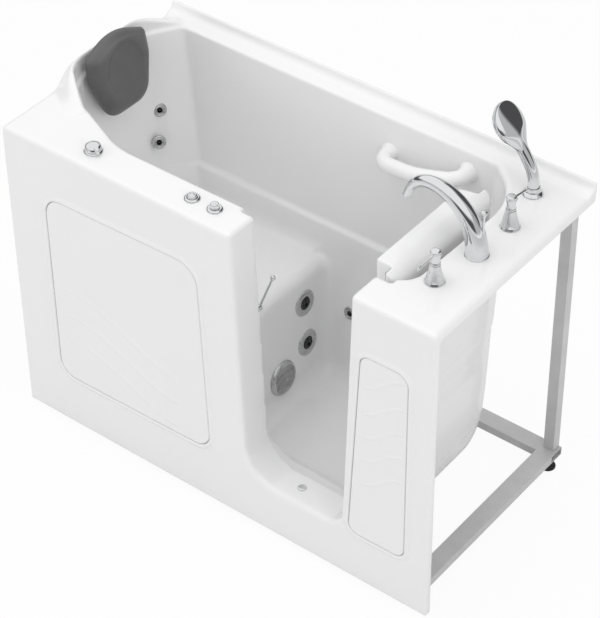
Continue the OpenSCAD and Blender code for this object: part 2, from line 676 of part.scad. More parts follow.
// ---------------------------------------------------------------- latch
latch_x = open_left - 31.5;
latch_foot_d = seal_face_d;
strike_t = 1.5;
tongue_d = door_in_d + strike_t + 0.5;     // the tongue passes just clear of the strike
tongue_t = 7;
spindle_r = 5;
module latch_housing() {
  color("silver") from_front() difference() {
    union() {
      block([recess_left, latch_foot_d, latch_z - 20], [latch_x + 8, tongue_d - 3, latch_z + 20]);
      translate([latch_x, tongue_d - 3, latch_z]) rotate([-90, 0, 0]) cylinder(h = 2, r = 7.5, $fn = fine);
    }
    translate([latch_x, latch_foot_d + 4, latch_z]) rotate([-90, 0, 0])
      cylinder(h = 80, r = spindle_r + run_clear, $fn = fine);
  }
}
lever_lean = [5, 50, 66];                  // direction of the lever at rest
module latch_lever() {
  hub_end = tongue_d + tongue_t + 10;
  tip = lever_l * unit(lever_lean);
  color("silver") from_front() {
    translate([latch_x, latch_foot_d + 6, latch_z]) rotate([-90, 0, 0])
      cylinder(h = hub_end - latch_foot_d - 6, r = spindle_r, $fn = fine);
    translate([latch_x, tongue_d, latch_z]) rotate([-90, 0, 0])
      cylinder(h = hub_end - tongue_d, r = 8, $fn = fine);
    translate([latch_x, 0, latch_z]) rotate([0, -164, 0])
      block([0, tongue_d, -5], [28, tongue_d + tongue_t, 5]);
    translate([latch_x, hub_end - 5, latch_z]) {
      rotate([-atan2(lever_lean[1], lever_lean[2]), 0, 0]) rotate([0, 3.5, 0])
        cylinder(h = lever_l, r = 3.2, $fn = 24);
      translate(tip) sphere(r = 7.5, $fn = 32);
    }
  }
}
module door_strike() {
  color("silver") from_front() hung() door_strike_solid(0);
}
module door_strike_solid(c) {
  block([flange_left + 1.5, door_in_d - 7 - c, latch_z - 19 - c],
    [flange_left + 30, door_in_d + strike_t, latch_z + 19 + c]);
}
module door_strike_cut() { door_strike_solid(0.1); }

// ---------------------------------------------------------------- grab bar
bar_mid = [tap_x - 307, back_d - 4, deck_z - 82];
bar_tilt = 11;
// Depth of the bar's end face at a height, against the leaning wall.
function bar_end(z) = well_c(z)[2][1] - bar_mid[1] - 0.05;
module grab_bar() {
  bend = 50;
  out = bar_out - bar_dia / 2;
  n = 8;
  half = bar_l / 2;
  path = concat(
    [[-half, 0, 0]],
    [for (a = [0:90 / n:90]) [-half + bend * (1 - cos(a)), -(out - bend * 0.75) - bend * 0.75 * sin(a), 0]],
    [for (t = [0.25:0.25:0.75]) [lerp(-half + bend, half - bend, t), -out - 10 * sin(180 * t), 0]],
    [for (a = [90:-90 / n:0]) [half - bend * (1 - cos(a)), -(out - bend * 0.75) - bend * 0.75 * sin(a), 0]],
    [[half, 0, 0]]);
  m = len(path);
  sides = 20;
  color("white") from_front() translate(bar_mid) rotate([0, -bar_tilt, 0]) {
    loft([for (k = [0:m - 1])
      let (t = k == 0 ? [0, -1, 0] : k == m - 1 ? [0, 1, 0] : unit(path[k + 1] - path[k - 1]),
           u = cross([0, 0, 1], t))
      [for (i = [0:sides - 1]) let (a = 360 * i / sides,
        q = path[k] + bar_dia / 2 * (u * cos(a) + [0, 0, 1] * sin(a)))
        k > 0 && k < m - 1 ? q
          : [q[0], bar_end(bar_mid[2] + q[0] * sin(bar_tilt) + q[2] * cos(bar_tilt)), q[2]]]]);
    for (s = [-1, 1]) translate([s * half, -1, 0]) rotate([-90, 0, 0]) cylinder(h = 26, r = 5, $fn = fine);
  }
}

// ---------------------------------------------------------------- headrest
rest_at = [x_head + 39, mid_d + 23, deck_z - 31];   // centre of the headrest's back
rest_lean = 8;
// Half width of the headrest's outline in the direction a, as a rounded shield.
rest_c = [[-rest_w * 0.3, -rest_h * 0.46, 50], [rest_w * 0.36, -rest_h * 0.47, 56],
  [rest_w / 2, rest_h * 0.06, 70], [rest_w * 0.49, rest_h * 0.34, 14], [0, rest_h * 0.54, 150],
  [-rest_w * 0.49, rest_h * 0.34, 14], [-rest_w / 2, rest_h * 0.06, 70]];
function rest_outline() = rounded(rest_c, 5);
module at_headrest() { translate(rest_at) rotate([0, -rest_lean, 0]) children(); }
module headrest() {
  edge = rest_outline();
  oval = [for (i = [0:len(edge) - 1]) let (a = atan2(edge[i][1], edge[i][0]))
    [68 * cos(a), 16 + 80 * sin(a)]];
  function ring(s, w, x) = [for (i = [0:len(edge) - 1])
    let (p = lerp(edge[i] * s, oval[i], w)) [x, p[0], p[1]]];
  color("dimgray") from_front() at_headrest() loft([
    ring(0.80, 0, 0), ring(0.93, 0, 2), ring(0.99, 0, rest_t * 0.22), ring(1, 0, rest_t * 0.38),
    ring(0.97, 0, rest_t * 0.58), ring(0.88, 0.05, rest_t * 0.8), ring(0.9, 0.35, rest_t * 0.95),
    ring(0.9, 0.7, rest_t), ring(0.9, 0.98, rest_t * 0.97), ring(0.8, 1, rest_t * 0.86),
    [for (p = oval) [rest_t * 0.8, p[0] * 0.55, 16 + (p[1] - 16) * 0.55]]]);
}
module headrest_studs() {
  color("gray") from_front() for (s = [-1, 1]) at_headrest()
  translate([-0.02, s * 50, 20]) rotate([0, -90, 0]) {
    cylinder(h = 8, r = 10, $fn = fine);
    cylinder(h = 26, r = 4, $fn = fine);
  }
}

// ---------------------------------------------------------------- filler, handles, shower
module shank(p, len, r = shank_r) { upright([p[0], p[1], deck_z - len], len, r); }

module filler_spout() {
  foot = [spout_at[0], spout_at[1], deck_z + 2];
  tip = [spout_at[0] - spout_reach, spout_at[1], deck_z + spout_h * 0.53];
  ctrl = [foot, foot + [0, 0, spout_h * 0.92], tip + [spout_reach * 0.14, 0, spout_h * 0.76], tip];
  steps = 22;
  centres = [for (k = [0:steps]) bezier(ctrl, k / steps)];
  radii = [for (k = [0:steps]) 11.8 + (spout_r - 11.8) * pow(1 - k / steps, 1.15)];
  color("silver") from_front() {
    difference() {
      flat_sweep(centres, radii, radii);
      translate(tip) rotate([0, 10, 0]) translate([0, 0, -2]) cylinder(h = 10, r = 11.2, $fn = fine);
      translate(lift_foot() + [0, 0, -1]) cylinder(h = 60, r = 3 + run_clear, $fn = fine);
    }
    upright([spout_at[0], spout_at[1], deck_z], 3, spout_r + 1.5);
    shank(spout_at, 60);
  }
}
function lift_foot() = [spout_at[0] + 13, spout_at[1] + 3, deck_z + 40];
module spout_aerator() {
  tip = [spout_at[0] - spout_reach, spout_at[1], deck_z + spout_h * 0.53];
  color("dimgray") from_front() translate(tip) rotate([0, 10, 0]) difference() {
    translate([0, 0, -1]) cylinder(h = 8.8, r = 11, $fn = fine);
    for (a = [0:60:300]) rotate([0, 0, a]) translate([6, 0, -2]) cylinder(h = 6, r = 1.6, $fn = 16);
  }
}
module spout_lift_knob() {
  color("silver") from_front() translate(lift_foot()) {
    cylinder(h = 76, r = 3, $fn = fine);
    translate([0, 0, 76]) rotate_extrude($fn = fine)
      polygon([[0, 0], [4, 0], [4.5, 6], [8, 9], [9, 12], [7.5, 15], [0, 16]]);
  }
}

module handle_base(p) {
  color("silver") from_front() translate([p[0], p[1], deck_z]) {
    rotate_extrude($fn = fine) polygon([[0, 0], [handle_r, 0], [handle_r, 3], [handle_r - 2, 6],
      [handle_r * 0.76, 18], [handle_r * 0.62, 34], [handle_r * 0.5, 52], [0, 52]]);
    translate([0, 0, 52]) cylinder(h = 6, r = 7, $fn = fine);
  }
  color("silver") from_front() shank(p, 40);
}
module handle_bases() { for (p = [hot_at, cold_at]) handle_base(p); }
tap_droop = 6;
module tap_lever(p, turn) {
  cap_z = 52.3;
  color("silver") from_front() translate([p[0], p[1], deck_z]) rotate([0, 0, turn]) {
    difference() {
      translate([0, 0, cap_z]) rotate_extrude($fn = fine)
        polygon([[0, 0], [11, 0], [12.5, 4], [10.5, 14], [12, 26], [14, 31],
          [12, handle_h - cap_z - 2], [9, handle_h - cap_z], [0, handle_h - cap_z]]);
      translate([0, 0, cap_z - 1]) cylinder(h = 8, r = 7 + run_clear, $fn = fine);
    }
    translate([0, 0, handle_h - 10]) rotate([0, 90 + tap_droop, 0]) {
      cylinder(h = tap_lever_l, r1 = 4.2, r2 = 3, $fn = 24);
      translate([0, 0, tap_lever_l]) sphere(r = 4, $fn = 24);
    }
  }
}
module hot_lever() { tap_lever(hot_at, -94); }
module cold_lever() { tap_lever(cold_at, 87); }

holder_h = 22;
spigot_r = 10;
module shower_holder() {
  color("silver") from_front() {
    translate([shower_at[0], shower_at[1], deck_z]) difference() {
      rotate_extrude($fn = fine) polygon([[0, 0], [shower_r, 0], [shower_r, 2.5], [shower_r - 3, 6],
        [shower_r - 8, 9], [17.5, 13], [16.5, holder_h], [0, holder_h]]);
      translate([0, 0, 4]) cylinder(h = holder_h, r = spigot_r + 0.25, $fn = fine);
    }
    shank(shower_at, 60);
  }
}
function shower_path(t) = bezier([[shower_at[0], shower_at[1], deck_z + holder_h + 1],
  [shower_at[0] + 2, shower_at[1], deck_z + 95], [shower_at[0] - 62, shower_at[1], deck_z + 128],
  [shower_at[0] - 104, shower_at[1], deck_z + 226]], t);
module hand_shower() {
  steps = 22;
  head = shower_head / 2;
  function wide(t) = t < 0.5 ? 15 + 1.5 * t : 15.75 + (head - 15.75) * smooth((t - 0.5) / 0.28)
    * (t > 0.8 ? sqrt(max(0.001, 1 - pow((t - 0.8) / 0.2, 2))) : 1);
  function thick(t) = t < 0.5 ? 15 - 2 * t : 14 + 7 * smooth((t - 0.5) / 0.25)
    - (t > 0.72 ? 20 * pow((t - 0.72) / 0.28, 2) : 0);
  centres = [for (k = [0:steps]) shower_path(k / steps)];
  color("silver") from_front() difference() {
    union() {
      flat_sweep(centres, [for (k = [0:steps]) max(2, wide(k / steps))],
        [for (k = [0:steps]) max(1, thick(k / steps))], 24);
      upright([shower_at[0], shower_at[1], deck_z + 6], holder_h + 2, spigot_r);
    }
    shower_face_at() translate([0, 0, 4]) cylinder(h = 60, r = shower_head * 0.47, $fn = fine);
  }
}
shower_face_r = 43;
face_turn = -118;
module shower_face_at() {
  translate([shower_at[0] - 86, shower_at[1], deck_z + 180]) rotate([0, face_turn, 0]) children();
}
module shower_face() {
  color("gray") from_front() shower_face_at() {
    translate([0, 0, 4.03]) cylinder(h = 5, r = shower_face_r, $fn = fine);
    for (ring = [[6, 12], [12, 22], [18, 32]]) for (i = [0:ring[0] - 1])
      rotate([0, 0, 360 * i / ring[0]]) translate([ring[1], 0, 8]) cylinder(h = 3, r = 1.6, $fn = 12);
  }
}

// Works under the deck: valve bodies with threaded inlets, and the pipes that join them.
valve_h = 62;
inlet_r = 10.48;
inlet_l = 18;
inlet_in = 9;                              // the inlets stand off the valve's axis, clear of the base rail
module valve_bodies() {
  color("goldenrod") from_front() for (p = [hot_at, cold_at])
    translate([p[0], p[1], deck_z - 40 - valve_h]) {
      difference() {
        cylinder(h = valve_h, r = 20, $fn = fine);
        translate([0, 0, valve_h - 0.01]) cylinder(h = 1, r = 2, $fn = fine);
      }
      translate([-inlet_in, 0, -inlet_l]) cylinder(h = inlet_l, r = inlet_r, $fn = fine);
    }
}
module mixer_pipes() {
  z = deck_z - 75;
  r = 8;
  color("goldenrod") from_front() {
    difference() {
      union() {
        pipe_between([hot_at[0], hot_at[1], z], [spout_at[0], spout_at[1], z], r);
        pipe_between([spout_at[0], spout_at[1], z], [cold_at[0], cold_at[1], z], r);
      }
      for (p = [hot_at, cold_at]) upright([p[0], p[1], z - 40], 80, 20.02);
    }
    translate([spout_at[0], spout_at[1], z - 16]) cylinder(h = 31, r = 17, $fn = fine);
    pipe_run([[spout_at[0], spout_at[1], z - 24], [spout_at[0] - 34, spout_at[1] + 40, z - 24],
      [spout_at[0] - 34, shower_at[1] - 40, z - 24], [shower_at[0], shower_at[1], z - 24]], 7);
    translate([spout_at[0], spout_at[1], z - 32]) cylinder(h = 17, r = 13, $fn = fine);
    upright([shower_at[0], shower_at[1], z - 32], 47, 12);
  }
}
module pipe_between(a, b, r) {
  v = b - a;
  translate(a) rotate([0, acos(v[2] / norm(v)), atan2(v[1], v[0])]) cylinder(h = norm(v), r = r, $fn = 32);
}

// ---------------------------------------------------------------- deck controls
module housing(p, r, bore) {
  color("silver") from_front() translate([p[0], p[1], deck_z]) difference() {
    union() {
      rotate_extrude($fn = fine) polygon([[0, 0], [r, 0], [r, 2], [r - 1.5, 4.5], [r - 4, 6], [0, 6]]);
      translate([0, 0, -30]) cylinder(h = 30, r = shank_r, $fn = fine);
    }
    translate([0, 0, -24]) cylinder(h = 40, r = bore, $fn = fine);
  }
}
module control_housings() {
  housing(dial_at, dial_r, 6 + run_clear);
  housing(button_at, button_r, button_r - 7.5);
  housing(air_at, button_r, 5 + run_clear);
}
module diverter_knob() {
  color("silver") from_front() translate([dial_at[0], dial_at[1], deck_z]) {
    translate([0, 0, -20]) cylinder(h = 27, r = 6, $fn = fine);
    translate([0, 0, 6.4]) rotate_extrude($fn = fine)
      polygon([[0, 0], [dial_r - 3, 0], [dial_r - 2.5, 3], [dial_r - 4, 9], [dial_r - 8, 12.5],
        [dial_r - 14, 14.5], [0, 15]]);
    rotate([0, 0, -20]) translate([dial_r - 7, 0, 6.4]) linear_extrude(7)
      polygon([[0, -7], [9, -3.5], [14, 0], [9, 3.5], [0, 7]]);
  }
}
module push_button() {
  r = button_r - 8;
  color("silver") from_front() translate([button_at[0], button_at[1], deck_z]) {
    translate([0, 0, -10]) cylinder(h = 19, r = r, $fn = fine);
    translate([0, 0, 9]) rotate_extrude($fn = fine)
      polygon([[0, 0], [r, 0], [r - 0.6, 1.8], [r - 2.4, 3.4], [r - 6, 4.6], [0, 5]]);
  }
}
module air_control_knob() {
  color("silver") from_front() translate([air_at[0], air_at[1], deck_z]) {
    translate([0, 0, -20]) cylinder(h = 27, r = 5, $fn = fine);
    translate([0, 0, 6.4]) rotate_extrude($fn = fine)
      polygon([[0, 0], [13, 0], [12, 2], [11, 10], [9, 12], [0, 12.4]]);
    translate([2, -1.6, 15]) cube([11.5, 3.2, 4.6]);
  }
}

// ---------------------------------------------------------------- jets, suction, drains
jet_flange_t = 5;
module jet_body(r, body_r, body_l, bore) {
  difference() {
    union() {
      rotate_extrude($fn = fine)
        polygon([[0, 0], [r, 0], [r, 1.5], [r - 3, jet_flange_t], [0, jet_flange_t]]);
      translate([0, 0, -body_l]) cylinder(h = body_l, r = body_r, $fn = fine);
    }
    translate([0, 0, -body_l + 6]) cylinder(h = body_l, r = bore, $fn = fine);
  }
}
// A swivelling eyeball with an off-centre outlet, 0.3 mm clear of its socket.
module jet_nozzle(bore) {
  r = bore - 0.3;
  color("black") difference() {
    union() {
      translate([0, 0, -14]) cylinder(h = 17, r = r, $fn = fine);
      translate([0, 0, 3]) rotate_extrude($fn = fine)
        polygon([[0, 0], [r, 0], [r * 0.95, 2.4], [r * 0.7, 4.6], [r * 0.4, 5.6], [0, 6]]);
    }
    translate([r * 0.22, 0, -8]) cylinder(h = 30, r = r * 0.3, $fn = fine);
  }
}
module at_jet(i) {
  if (i < 2) translate(seat_jets_at[i]) rotate([0, 90 - seat_lean, 0]) translate([0, 0, -0.8]) children();
  else translate(back_jet_at) rotate([90 - back_lean, 0, 0]) translate([0, 0, -0.8]) children();
}
module at_suction() {
  translate(suction_at) rotate([0, 90 - seat_lean, 0]) translate([0, 0, -0.8]) children();
}
module at_overflow() { translate(overflow_at) rotate([0, -90, 0]) children(); }
overflow_r = 32;
overflow_body_r = 17.5;
jet_bore = jet_body_r - 5;
small_body_r = 14;
small_jet_l = 44;
small_bore = 7.5;
back_jet_r = 20;
module seat_jets() {
  color("silver") from_front() {
    for (i = [0:1]) at_jet(i) jet_body(jet_r, jet_body_r, 58, jet_bore);
    at_jet(2) jet_body(back_jet_r, small_body_r, small_jet_l, small_bore);
  }
}
module upper_seat_nozzle() { from_front() at_jet(0) jet_nozzle(jet_bore); }
module lower_seat_nozzle() { from_front() at_jet(1) jet_nozzle(jet_bore); }
module back_nozzle() { from_front() at_jet(2) jet_nozzle(small_bore); }
module at_lumbar_jets() { for (p = lumbar_at) lumbar_frame(p) children(); }
module lumbar_jets() {
  color("silver") from_front() at_lumbar_jets() jet_body(small_jet_r, small_body_r, small_jet_l, small_bore);
}
module upper_lumbar_nozzle() { from_front() lumbar_frame(lumbar_at[0]) jet_nozzle(small_bore); }
module lower_lumbar_nozzle() { from_front() lumbar_frame(lumbar_at[1]) jet_nozzle(small_bore); }

module suction_cover() {
  color("silver") from_front() at_suction() {
    difference() {
      rotate_extrude($fn = fine) polygon([[0, 0], [suction_r, 0], [suction_r, 4], [suction_r - 4, 9],
        [suction_r - 14, 13], [0, 15]]);
      for (i = [-3:3]) translate([-suction_r * 0.62, i * 11 - 1.6, 8]) cube([suction_r * 1.24, 3.2, 10]);
    }
    translate([0, 0, -60]) cylinder(h = 60, r = jet_body_r, $fn = fine);
  }
}
module floor_drain() {
  color("silver") from_front() translate([drain_at[0], drain_at[1], floor_z]) difference() {
    union() {
      rotate_extrude($fn = fine) polygon([[0, 0.2], [drain_r, 0.2], [drain_r - 2, 2.6], [0, 3.4]]);
      translate([0, 0, -shell_t - 12]) cylinder(h = shell_t + 12.2, r = 25.5, $fn = fine);
    }
    translate([0, 0, -shell_t - 14]) cylinder(h = 40, r = 20, $fn = fine);
  }
}
module drain_stopper() {
  color("silver") from_front() translate([drain_at[0], drain_at[1], floor_z]) {
    translate([0, 0, 3.8]) rotate_extrude($fn = fine) polygon([[0, 0], [28, 0], [27.5, 3], [23, 6], [0, 7]]);
    translate([0, 0, -22]) cylinder(h = 26, r = 4, $fn = fine);
  }
}
module sill_drain() {
  color("silver") from_front() translate([sill_drain_at[0], sill_drain_at[1], sill_z]) difference() {
    union() {
      rotate_extrude($fn = fine) polygon([[0, 0.2], [12, 0.2], [11, 2.4], [0, 2.8]]);
      translate([0, 0, -26]) cylinder(h = 26.2, r = 8, $fn = fine);
    }
    for (i = [-2:2]) translate([i * 3.6 - 0.9, -6 + abs(i), 1]) cube([1.8, 12 - 2 * abs(i), 4]);
    translate([0, 0, -30]) cylinder(h = 29, r = 6, $fn = fine);
  }
}
module overflow_plate() {
  color("silver") from_front() at_overflow() {
    rotate_extrude($fn = fine)
      polygon([[0, 0], [overflow_r, 0], [overflow_r, 3], [overflow_r - 4, 7], [0, 8]]);
    translate([0, 0, -38]) cylinder(h = 38, r = overflow_body_r, $fn = fine);
  }
}
// Tail of the floor drain: a nut, and a spigot that ends just above the floor.
tail_end = 8;
spigot_l = 40;
module waste_trap() {
  top = floor_z - shell_t - 12.3;
  nut = tail_end + spigot_l;
  color("dimgray") from_front() difference() {
    union() {
      upright([drain_at[0], drain_at[1], nut], top - nut, waste_r + 4);
      upright([drain_at[0], drain_at[1], tail_end], spigot_l + 1, waste_r);
    }
    upright([drain_at[0], drain_at[1], tail_end - 1], top, waste_r - 3);
  }
}

// ---------------------------------------------------------------- frame
frame_l = bath_l - 2 * frame_inset;
frame_x = frame_l / 2;
front_rail_d = 22;
rail_top = rail_z + rail_h;
top_rail_z = deck_z - shell_t - 25;

module tube_x(x0, x1, d, z, w, h) {
  difference() {
    block([x0, d, z], [x1, d + w, z + h]);
    block([x0 - 1, d + tube_t, z + tube_t], [x1 + 1, d + w - tube_t, z + h - tube_t]);
  }
}
module base_long_rails() {
  color("gray") from_front() for (d = [front_rail_d, bath_d - rail_w])
    tube_x(-frame_x, frame_x, d, rail_z, rail_w, rail_h);
}
module tube_y(x, d0, d1, z, w, h) {
  difference() {
    block([x, d0, z], [x + w, d1, z + h]);
    block([x + tube_t, d0 - 1, z + tube_t], [x + w - tube_t, d1 + 1, z + h - tube_t]);
  }
}
cross_x = [x_head + 150, seat_x - 170, seat_x + 60, tap_x - 200];
module base_cross_rails() {
  color("gray") from_front() for (x = concat([-frame_x], cross_x, [frame_x - rail_w]))
    tube_y(x, front_rail_d + rail_w, bath_d - rail_w, rail_z, rail_w, rail_h);
}
module post(x, d) {
  difference() {
    block([x, d, rail_top], [x + post_w, d + post_d, top_rail_z]);
    block([x + tube_t, d + tube_t, rail_top - 1],
      [x + post_w - tube_t, d + post_d - tube_t, top_rail_z + 1]);
  }
}
post_in = 9;
module frame_posts() {
  color("gray") from_front() for (x = [-frame_x + post_in, frame_x - post_in - post_w])
    for (d = [front_rail_d, bath_d - post_d]) post(x, d);
}
module top_rails() {
  color("gray") from_front() {
    tube_y(frame_x - post_in - post_w, front_rail_d, bath_d - shell_t, top_rail_z, post_w, 25);
    tube_x(-frame_x + post_in, frame_x - post_in - post_w, bath_d - shell_t - post_d, top_rail_z,
      post_d, 25);
    tube_x(-frame_x + post_in, -frame_x + post_in + 90, front_rail_d, top_rail_z, post_d, 25);
  }
}
// Uprights and a bearer under the seat.
brace_d0 = front_rim_w + 38;
brace_d1 = back_d - 62;
module seat_braces() {
  color("gray") from_front() for (x = [cross_x[0], cross_x[1]]) {
    for (d = [brace_d0, brace_d1 - 30])
      block([x + 10, d, rail_top], [x + 40, d + 30, seat_z - shell_t - 33]);
    block([x + 10, brace_d0, seat_z - shell_t - 33], [x + 40, brace_d1, seat_z - shell_t - 8]);
  }
}
module support_pads() {
  color("black") from_front() {
    for (x = [cross_x[0], cross_x[1]])
      block([x + 10, brace_d0 + 50, seat_z - shell_t - 8], [x + 40, brace_d1 - 40, seat_z - shell_t]);
    for (x = [cross_x[2], cross_x[3]]) for (d = [mid_d - 127, mid_d + 33])
      block([x + 5, d, rail_top], [x + rail_w - 5, d + 60, floor_z - shell_t]);
  }
}
foot_at = [for (x = [-frame_x + rail_w / 2, frame_x - rail_w / 2])
  for (d = [front_rail_d + rail_w / 2, bath_d - rail_w / 2]) [x, d]];
foot_spots = concat(foot_at, [[seat_x - 60, front_rail_d + rail_w / 2], [seat_x - 60, bath_d - rail_w / 2]]);
module foot_studs() {
  color("silver") from_front() for (p = foot_spots) {
    upright([p[0], p[1], 10], rail_z - 10, stud_r);
    translate([p[0], p[1], rail_z - 9]) cylinder(h = 9, r = 11, $fn = 6);
  }
}
module foot_pads() {
  color("dimgray") from_front() for (p = foot_spots) translate([p[0], p[1], 0]) rotate_extrude($fn = fine)
    polygon([[0, 0], [foot_r, 0], [foot_r, 4], [foot_r - 4, 7], [10, 8], [9, 10], [0, 10]]);
}

// ---------------------------------------------------------------- jet and air works
pump_at = [seat_x - 150, mid_d - 37];
motor_l = 160;
module jet_pump() {
  color("black") from_front() translate([pump_at[0], pump_at[1], rail_top]) {
    translate([0, 0, 82]) rotate([0, 90, 0]) {
      cylinder(h = 56, r = 70, $fn = fine);
      translate([0, 0, 56]) cylinder(h = 20, r = 30, $fn = fine);
    }
    translate([28, 0, 150]) cylinder(h = 30, r = 25, $fn = fine);
    block([0, -60, 0], [56, 60, 14]);
  }
}
module pump_motor() {
  color("darkslategray") from_front() translate([pump_at[0], pump_at[1], rail_top + 82]) {
    rotate([0, -90, 0]) difference() {
      cylinder(h = motor_l, r = 62, $fn = fine);
      for (a = [0:30:330]) rotate([0, 0, a]) translate([60, -2, 20]) cube([6, 4, motor_l - 50]);
    }
    block([-130, -50, -82], [-40, 50, -50]);
  }
}
blower_at = [x_head + 130, mid_d - 37];
module air_blower() {
  color("black") from_front() translate([blower_at[0], blower_at[1], rail_top]) {
    cylinder(h = 110, r = 68, $fn = fine);
    translate([0, 0, 110]) cylinder(h = 40, r = 40, $fn = fine);
    translate([0, 0, 60]) rotate([0, -90, 0]) cylinder(h = 84, r = 18, $fn = fine);
  }
}
module control_box() {
  color("dimgray") from_front() {
    block([x_head + 120, bath_d - 116, rail_top], [x_head + 280, bath_d - 66, rail_top + 130]);
    translate([x_head + 200, bath_d - 66, rail_top + 30]) rotate([-90, 0, 0])
      cylinder(h = 14, r = 10, $fn = fine);
  }
}
// A pipe along straight legs with round elbows.
module pipe_run(p, r) {
  for (i = [0:len(p) - 2]) pipe_between(p[i], p[i + 1], r);
  for (i = [1:len(p) - 2]) translate(p[i]) rotate([25, 40, 15]) sphere(r = r * 1.25, $fn = 32);
}
// Points behind a jet in the seat's front, measured back along its axis.
function behind(p, l) = p - l * [cos(seat_lean), 0, sin(seat_lean)];
function behind_back(p, l) = p + l * [0, cos(back_lean), -sin(back_lean)];
jet_tail = 58.8;
manifold_x = seat_x - 76;
// Where a seat jet's axis meets the upright manifold.
function on_manifold(p) = behind(p, (p[0] - manifold_x) / cos(seat_lean));
module water_pipes() {
  pump_z = rail_top + 82;
  mid_z = 268;
  high = seat_jets_at[0];
  low = seat_jets_at[1];
  color("whitesmoke") from_front() {
    pipe_run([[pump_at[0] + 76, pump_at[1], pump_z], [pump_at[0] + 96.5, pump_at[1], pump_z],
      behind(suction_at, 81.5), behind(suction_at, 60.8)], 16);
    pipe_run([[pump_at[0] + 28, pump_at[1], rail_top + 180], [pump_at[0] + 28, pump_at[1], mid_z],
      [manifold_x, pump_at[1], mid_z], [manifold_x, bath_d - 30, mid_z],
      behind_back(back_jet_at, (bath_d - 30 - back_jet_at[1]) / cos(back_lean)),
      behind_back(back_jet_at, small_jet_l + 0.8)], 12);
    pipe_run([behind(high, jet_tail), on_manifold(high), on_manifold(low), behind(low, jet_tail)], 10.5);
    translate(lerp(on_manifold(high), on_manifold(low),
      (on_manifold(high)[2] - mid_z) / (on_manifold(high)[2] - on_manifold(low)[2])))
      sphere(r = 19, $fn = 32);
  }
}
function behind_lumbar(p, l) = p - l * [sin(lumbar_lean) * cos(lumbar_turn),
  sin(lumbar_lean) * sin(lumbar_turn), cos(lumbar_lean)];
module air_pipes() {
  z = rail_top + 60;
  x = x_head + 23;
  top = [x, lumbar_at[0][1] + 13, seat_z + 150];
  color("whitesmoke") from_front() {
    pipe_run([[blower_at[0] - 84, blower_at[1], z], [x, blower_at[1], z], [x, top[1], z], top], 9);
    translate(top) sphere(r = 12, $fn = 32);
    for (p = lumbar_at) pipe_run([top, behind_lumbar(p, 56), behind_lumbar(p, 44)], 7);
  }
}

bath_shell();
front_skirt();
large_access_panel();
small_access_panel();
panel_catches();
door_outer_shell();
door_inner_shell();
door_seal();
hinge_frame_leaves();
hinge_door_leaves();
hinge_pins();
latch_housing();
latch_lever();
door_strike();
grab_bar();
headrest();
headrest_studs();
filler_spout();
spout_aerator();
spout_lift_knob();
handle_bases();
hot_lever();
cold_lever();
shower_holder();
hand_shower();
shower_face();
valve_bodies();
mixer_pipes();
control_housings();
diverter_knob();
push_button();
air_control_knob();
seat_jets();
upper_seat_nozzle();
lower_seat_nozzle();
back_nozzle();
lumbar_jets();
upper_lumbar_nozzle();
lower_lumbar_nozzle();
suction_cover();
floor_drain();
drain_stopper();
sill_drain();
overflow_plate();
waste_trap();
base_long_rails();
base_cross_rails();
frame_posts();
top_rails();
seat_braces();
support_pads();
foot_studs();
foot_pads();
jet_pump();
pump_motor();
air_blower();
water_pipes();
air_pipes();
control_box();
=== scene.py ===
"""Looks of the walk-in bath with door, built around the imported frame."""
from math import acos, atan2, cos, pi, radians, sin, sqrt, tan

import bmesh
import bpy
import numpy as np
from mathutils import Matrix, Vector


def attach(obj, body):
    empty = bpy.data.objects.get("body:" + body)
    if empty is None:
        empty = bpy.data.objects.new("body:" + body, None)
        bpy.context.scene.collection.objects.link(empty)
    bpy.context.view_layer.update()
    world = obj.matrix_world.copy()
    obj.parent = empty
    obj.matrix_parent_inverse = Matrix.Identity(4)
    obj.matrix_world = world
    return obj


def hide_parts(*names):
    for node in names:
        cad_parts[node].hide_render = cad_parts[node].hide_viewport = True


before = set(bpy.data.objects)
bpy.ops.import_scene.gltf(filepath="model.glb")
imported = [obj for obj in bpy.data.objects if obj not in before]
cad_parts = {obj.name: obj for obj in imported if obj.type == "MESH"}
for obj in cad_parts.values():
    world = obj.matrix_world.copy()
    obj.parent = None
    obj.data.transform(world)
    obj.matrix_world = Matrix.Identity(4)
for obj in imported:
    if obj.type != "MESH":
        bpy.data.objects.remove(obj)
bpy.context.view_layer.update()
scene = bpy.context.scene

# ---------- sizes, in mm, as in the part's source
# Points are [x, depth from the front face, height].
MM = 0.001
FRONT_Y = -336.0
X_HEAD, X_TAP, BATH_D, DECK_Z = -673.0, 673.0, 676.0, 943.0
SHELL_T, LIP_H, EDGE_R = 8.0, 22.0, 10.0
UP_H, UP_W = 32.0, 31.0
FRONT_RIM, BACK_RIM, TAP_RIM, HEAD_RIM = 112.0, 54.0, 151.0, 18.0
HEAD_RISE, FLARE_R = 52.0, 9.0
SEAT_Z, FLOOR_Z, LEDGE_Z, LEDGE_W, LEDGE_STEP = 430.0, 80.0, 524.0, 13.0, 10.0
SEAT_FILLET, FLOOR_FILLET, EDGE_ROLL = 36.0, 46.0, 34.0
SEAT_X = X_HEAD + 581
TAP_X = X_TAP - TAP_RIM
REST_X = X_HEAD + HEAD_RIM
BACK_D = BATH_D - BACK_RIM
MID_D = (FRONT_RIM + BACK_D) / 2
SKIRT_GAP, RETURN_D = 10.0, 20.0
SILL_Z, SEAL_D, SEAL_GAP, DOOR_FRONT, DOOR_SKIN = 165.0, 96.0, 2.5, 50.0, 32.0
OPEN_RIGHT = X_TAP - 243
OPEN_LEFT = OPEN_RIGHT - 361
OPEN_TOP = DECK_Z + 60
FLANGE_LAP, FLANGE_DROP, DOOR_CLEAR = 24.0, 30.0, 3.0
HINGE_X, HINGE_D = OPEN_RIGHT + 29, SEAL_D + 18
